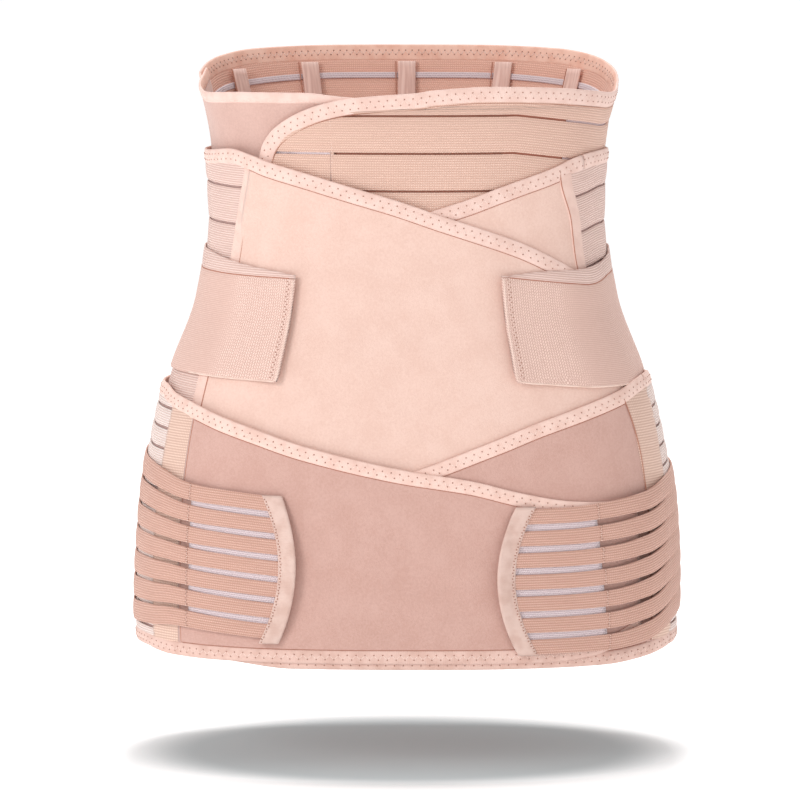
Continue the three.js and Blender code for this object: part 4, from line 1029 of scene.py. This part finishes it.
def make_fan_strips(side, sign, edge, top, low, level, net_end):
    ends = ends_in_order(sign, sign * FAN_TAIL, edge)
    outer = raised(level, FAN_RISE + ELASTIC + THREAD_RISE)
    tail = sign * (FAN_TAIL - 1.2)
    for k in range(FAN_STRIPS):
        below, above = fan_strip_edges(k, top, low)
        strip = Cloth().shell(*ends, below, above, raised(level, FAN_RISE), ELASTIC, 0.35, step=2.6, rows=6)
        place = f"{side}_{k + 1}"
        piece = strip.make(f"fan_strip_{place}", FAN_ELASTIC, "fan_elastic", [f"pelvis_fan_{place}"])
        at = float(as_line(net_end)(below(40.0)))
        for b, inset, pitch, length in ((at, 0.9, 1.4, 1.5), (tail, 1, 1.6, 1.6)):
            path = [(b, float(below(b)) + inset), (b, float(above(b)) - inset)]
            sew(path, outer, pitch, length, slant=40)


def make_tab(side, sign, path):
    """The curved tab that a fan's strips are sewn to, its far edge standing off the velour."""
    hinge = float(tape_edge(path)(np.mean([z for _, z in path])))

    def level(bearing):
        out = np.clip((bearing - hinge) * -sign / 2.4 + 0.6, 0, 1.4)
        return LEVEL_FAN_MESH + 1.0 + TAB_LIFT * out

    tab = Cloth().ribbon(path, TAB_WIDTH, level, TAB, crown=0.5, step=2, rows=9, cut_level=True)
    row = beside(path, sign * TAB_ROW)
    sew(row, raised(level, TAB + 0.3), pitch=1.9, length=1.5, slant=20)
    piece = tab.make(f"crescent_{side}", TAB_CLOTH, "tab", [f"pelvis_tab_{side}"])


def make_fan(side, sign, tab, top, low, levels, net_end):
    level, edge = smooth(levels), tape_edge(tab, sign * 0.2)
    make_fan_strips(side, sign, edge, top, low, level, net_end)
    ends = ends_in_order(sign, net_end, edge)
    window = Cloth().shell(*ends, raised(low, 1), raised(top, -1), level, MESH, rows=30)
    piece = window.make(f"net_window_{side}", NET, "mesh", [f"pelvis_mesh_{side}"])
    make_tab(side, sign, tab)


def make_pelvis_wrap():
    bottom = PELVIS_LOW + PELVIS_BOUND
    make_pelvis_bindings()
    make_pelvis_velour()
    make_pelvis_elastic(bottom)
    make_pelvis_seam_tapes(bottom)
    for fan in FANS:
        make_fan(*fan)


# The stage, in metres

FLOOR_SIZE = 70
FLOOR_Z = -0.364
FLOOR_GLOW = 0.34
FLOOR_COLOUR = (0.97, 0.97, 0.97, 1)
# This line and the three below: a soft oval shadow painted on the floor under the wraps, tinted against the
# wraps' warm bounce.
SHADE = (0.387, 0.414, 0.421, 1)
SHADE_X, SHADE_Y = 0.0, -0.01
SHADE_WIDE, SHADE_DEEP = 0.185, 0.15
SHADE_FADE = (0.74, 1.12)
SURROUND_LIT, SURROUND_SEEN = 0.71, 1.05
LAMPS = (
    # name, place, size, watts
    ("key", (-1.75, -1.95, 1.1), 0.9, 26.5),
    ("fill", (1.8, -1.8, 0.7), 1.6, 1),
    ("top", (0.05, 0.85, 1.7), 0.5, 20),
)
LAMP_AIM = (0, 0, -0.1)
LENS = 274
CAMERA_PLACE = (-0.0046, -4.0, 0.290)
CAMERA_AIM = (-0.0046, 0, -0.132)


def set_up(data, place, aim):
    """A lamp or a camera at a place, turned to another."""
    thing = bpy.data.objects.new(data.name, data)
    thing.location = place
    thing.rotation_euler = (Vector(aim) - Vector(place)).to_track_quat("-Z", "Y").to_euler()
    bpy.context.scene.collection.objects.link(thing)
    return thing


def make_floor():
    """A pale floor some way below the hanging wraps, with a soft oval shadow painted into its colour."""
    bpy.ops.mesh.primitive_plane_add(size=FLOOR_SIZE, location=(0, 0, FLOOR_Z))
    floor = bpy.context.object
    floor.name = "floor"
    look = Look("pale floor")
    parts = look.node("ShaderNodeSeparateXYZ", Vector=look.spot)
    squares = []
    for axis, middle, reach in (("X", SHADE_X, SHADE_WIDE), ("Y", SHADE_Y, SHADE_DEEP)):
        share = look.math("DIVIDE", look.math("SUBTRACT", parts.outputs[axis], middle), reach)
        squares.append(look.math("POWER", share, 2.0))
    away = look.math("SQRT", look.math("ADD", *squares))
    tone = look.mix(look.window(away, *SHADE_FADE), SHADE, FLOOR_COLOUR)
    look.feed(look.surface.inputs["Base Color"], tone)
    look.feed(look.surface.inputs["Emission Color"], tone)
    look.surface.inputs["Emission Strength"].default_value = FLOOR_GLOW
    look.surface.inputs["Roughness"].default_value = 0.9
    floor.data.materials.append(look.material)


def make_surround():
    """A white surround, brighter to the camera than it is as a light."""
    world = bpy.data.worlds.new("studio")
    bpy.context.scene.world = world
    world.use_nodes = True
    nodes, links = world.node_tree.nodes, world.node_tree.links
    seen = nodes.new("ShaderNodeLightPath").outputs["Is Camera Ray"]
    strength = nodes.new("ShaderNodeMapRange")
    strength.inputs["To Min"].default_value = SURROUND_LIT
    strength.inputs["To Max"].default_value = SURROUND_SEEN
    links.new(seen, strength.inputs["Value"])
    links.new(strength.outputs["Result"], nodes["Background"].inputs["Strength"])
    nodes["Background"].inputs["Color"].default_value = (1, 1, 1, 1)


def make_lamps():
    for name, place, size, watts in LAMPS:
        data = bpy.data.lights.new(name, "AREA")
        data.size = size
        data.energy = watts
        set_up(data, place, LAMP_AIM)


def make_camera():
    data = bpy.data.cameras.new("camera")
    data.lens = LENS
    data.sensor_width = 36
    data.clip_end = 50
    bpy.context.scene.camera = set_up(data, CAMERA_PLACE, CAMERA_AIM)


make_camera()
make_floor()
make_surround()
make_lamps()
bpy.context.scene.view_settings.view_transform = "Standard"
make_waist_wrap()
make_belly_wrap()
make_pelvis_wrap()
threads.make("seam_threads", PALE_THREAD, "binding")
holes.make("needle_hole_shade", HOLE_SHADE, "binding")
seams_and_shadows.make("dark_seams_and_painted_shadows", DARK_SEAM_AND_SHADOW, "tape")
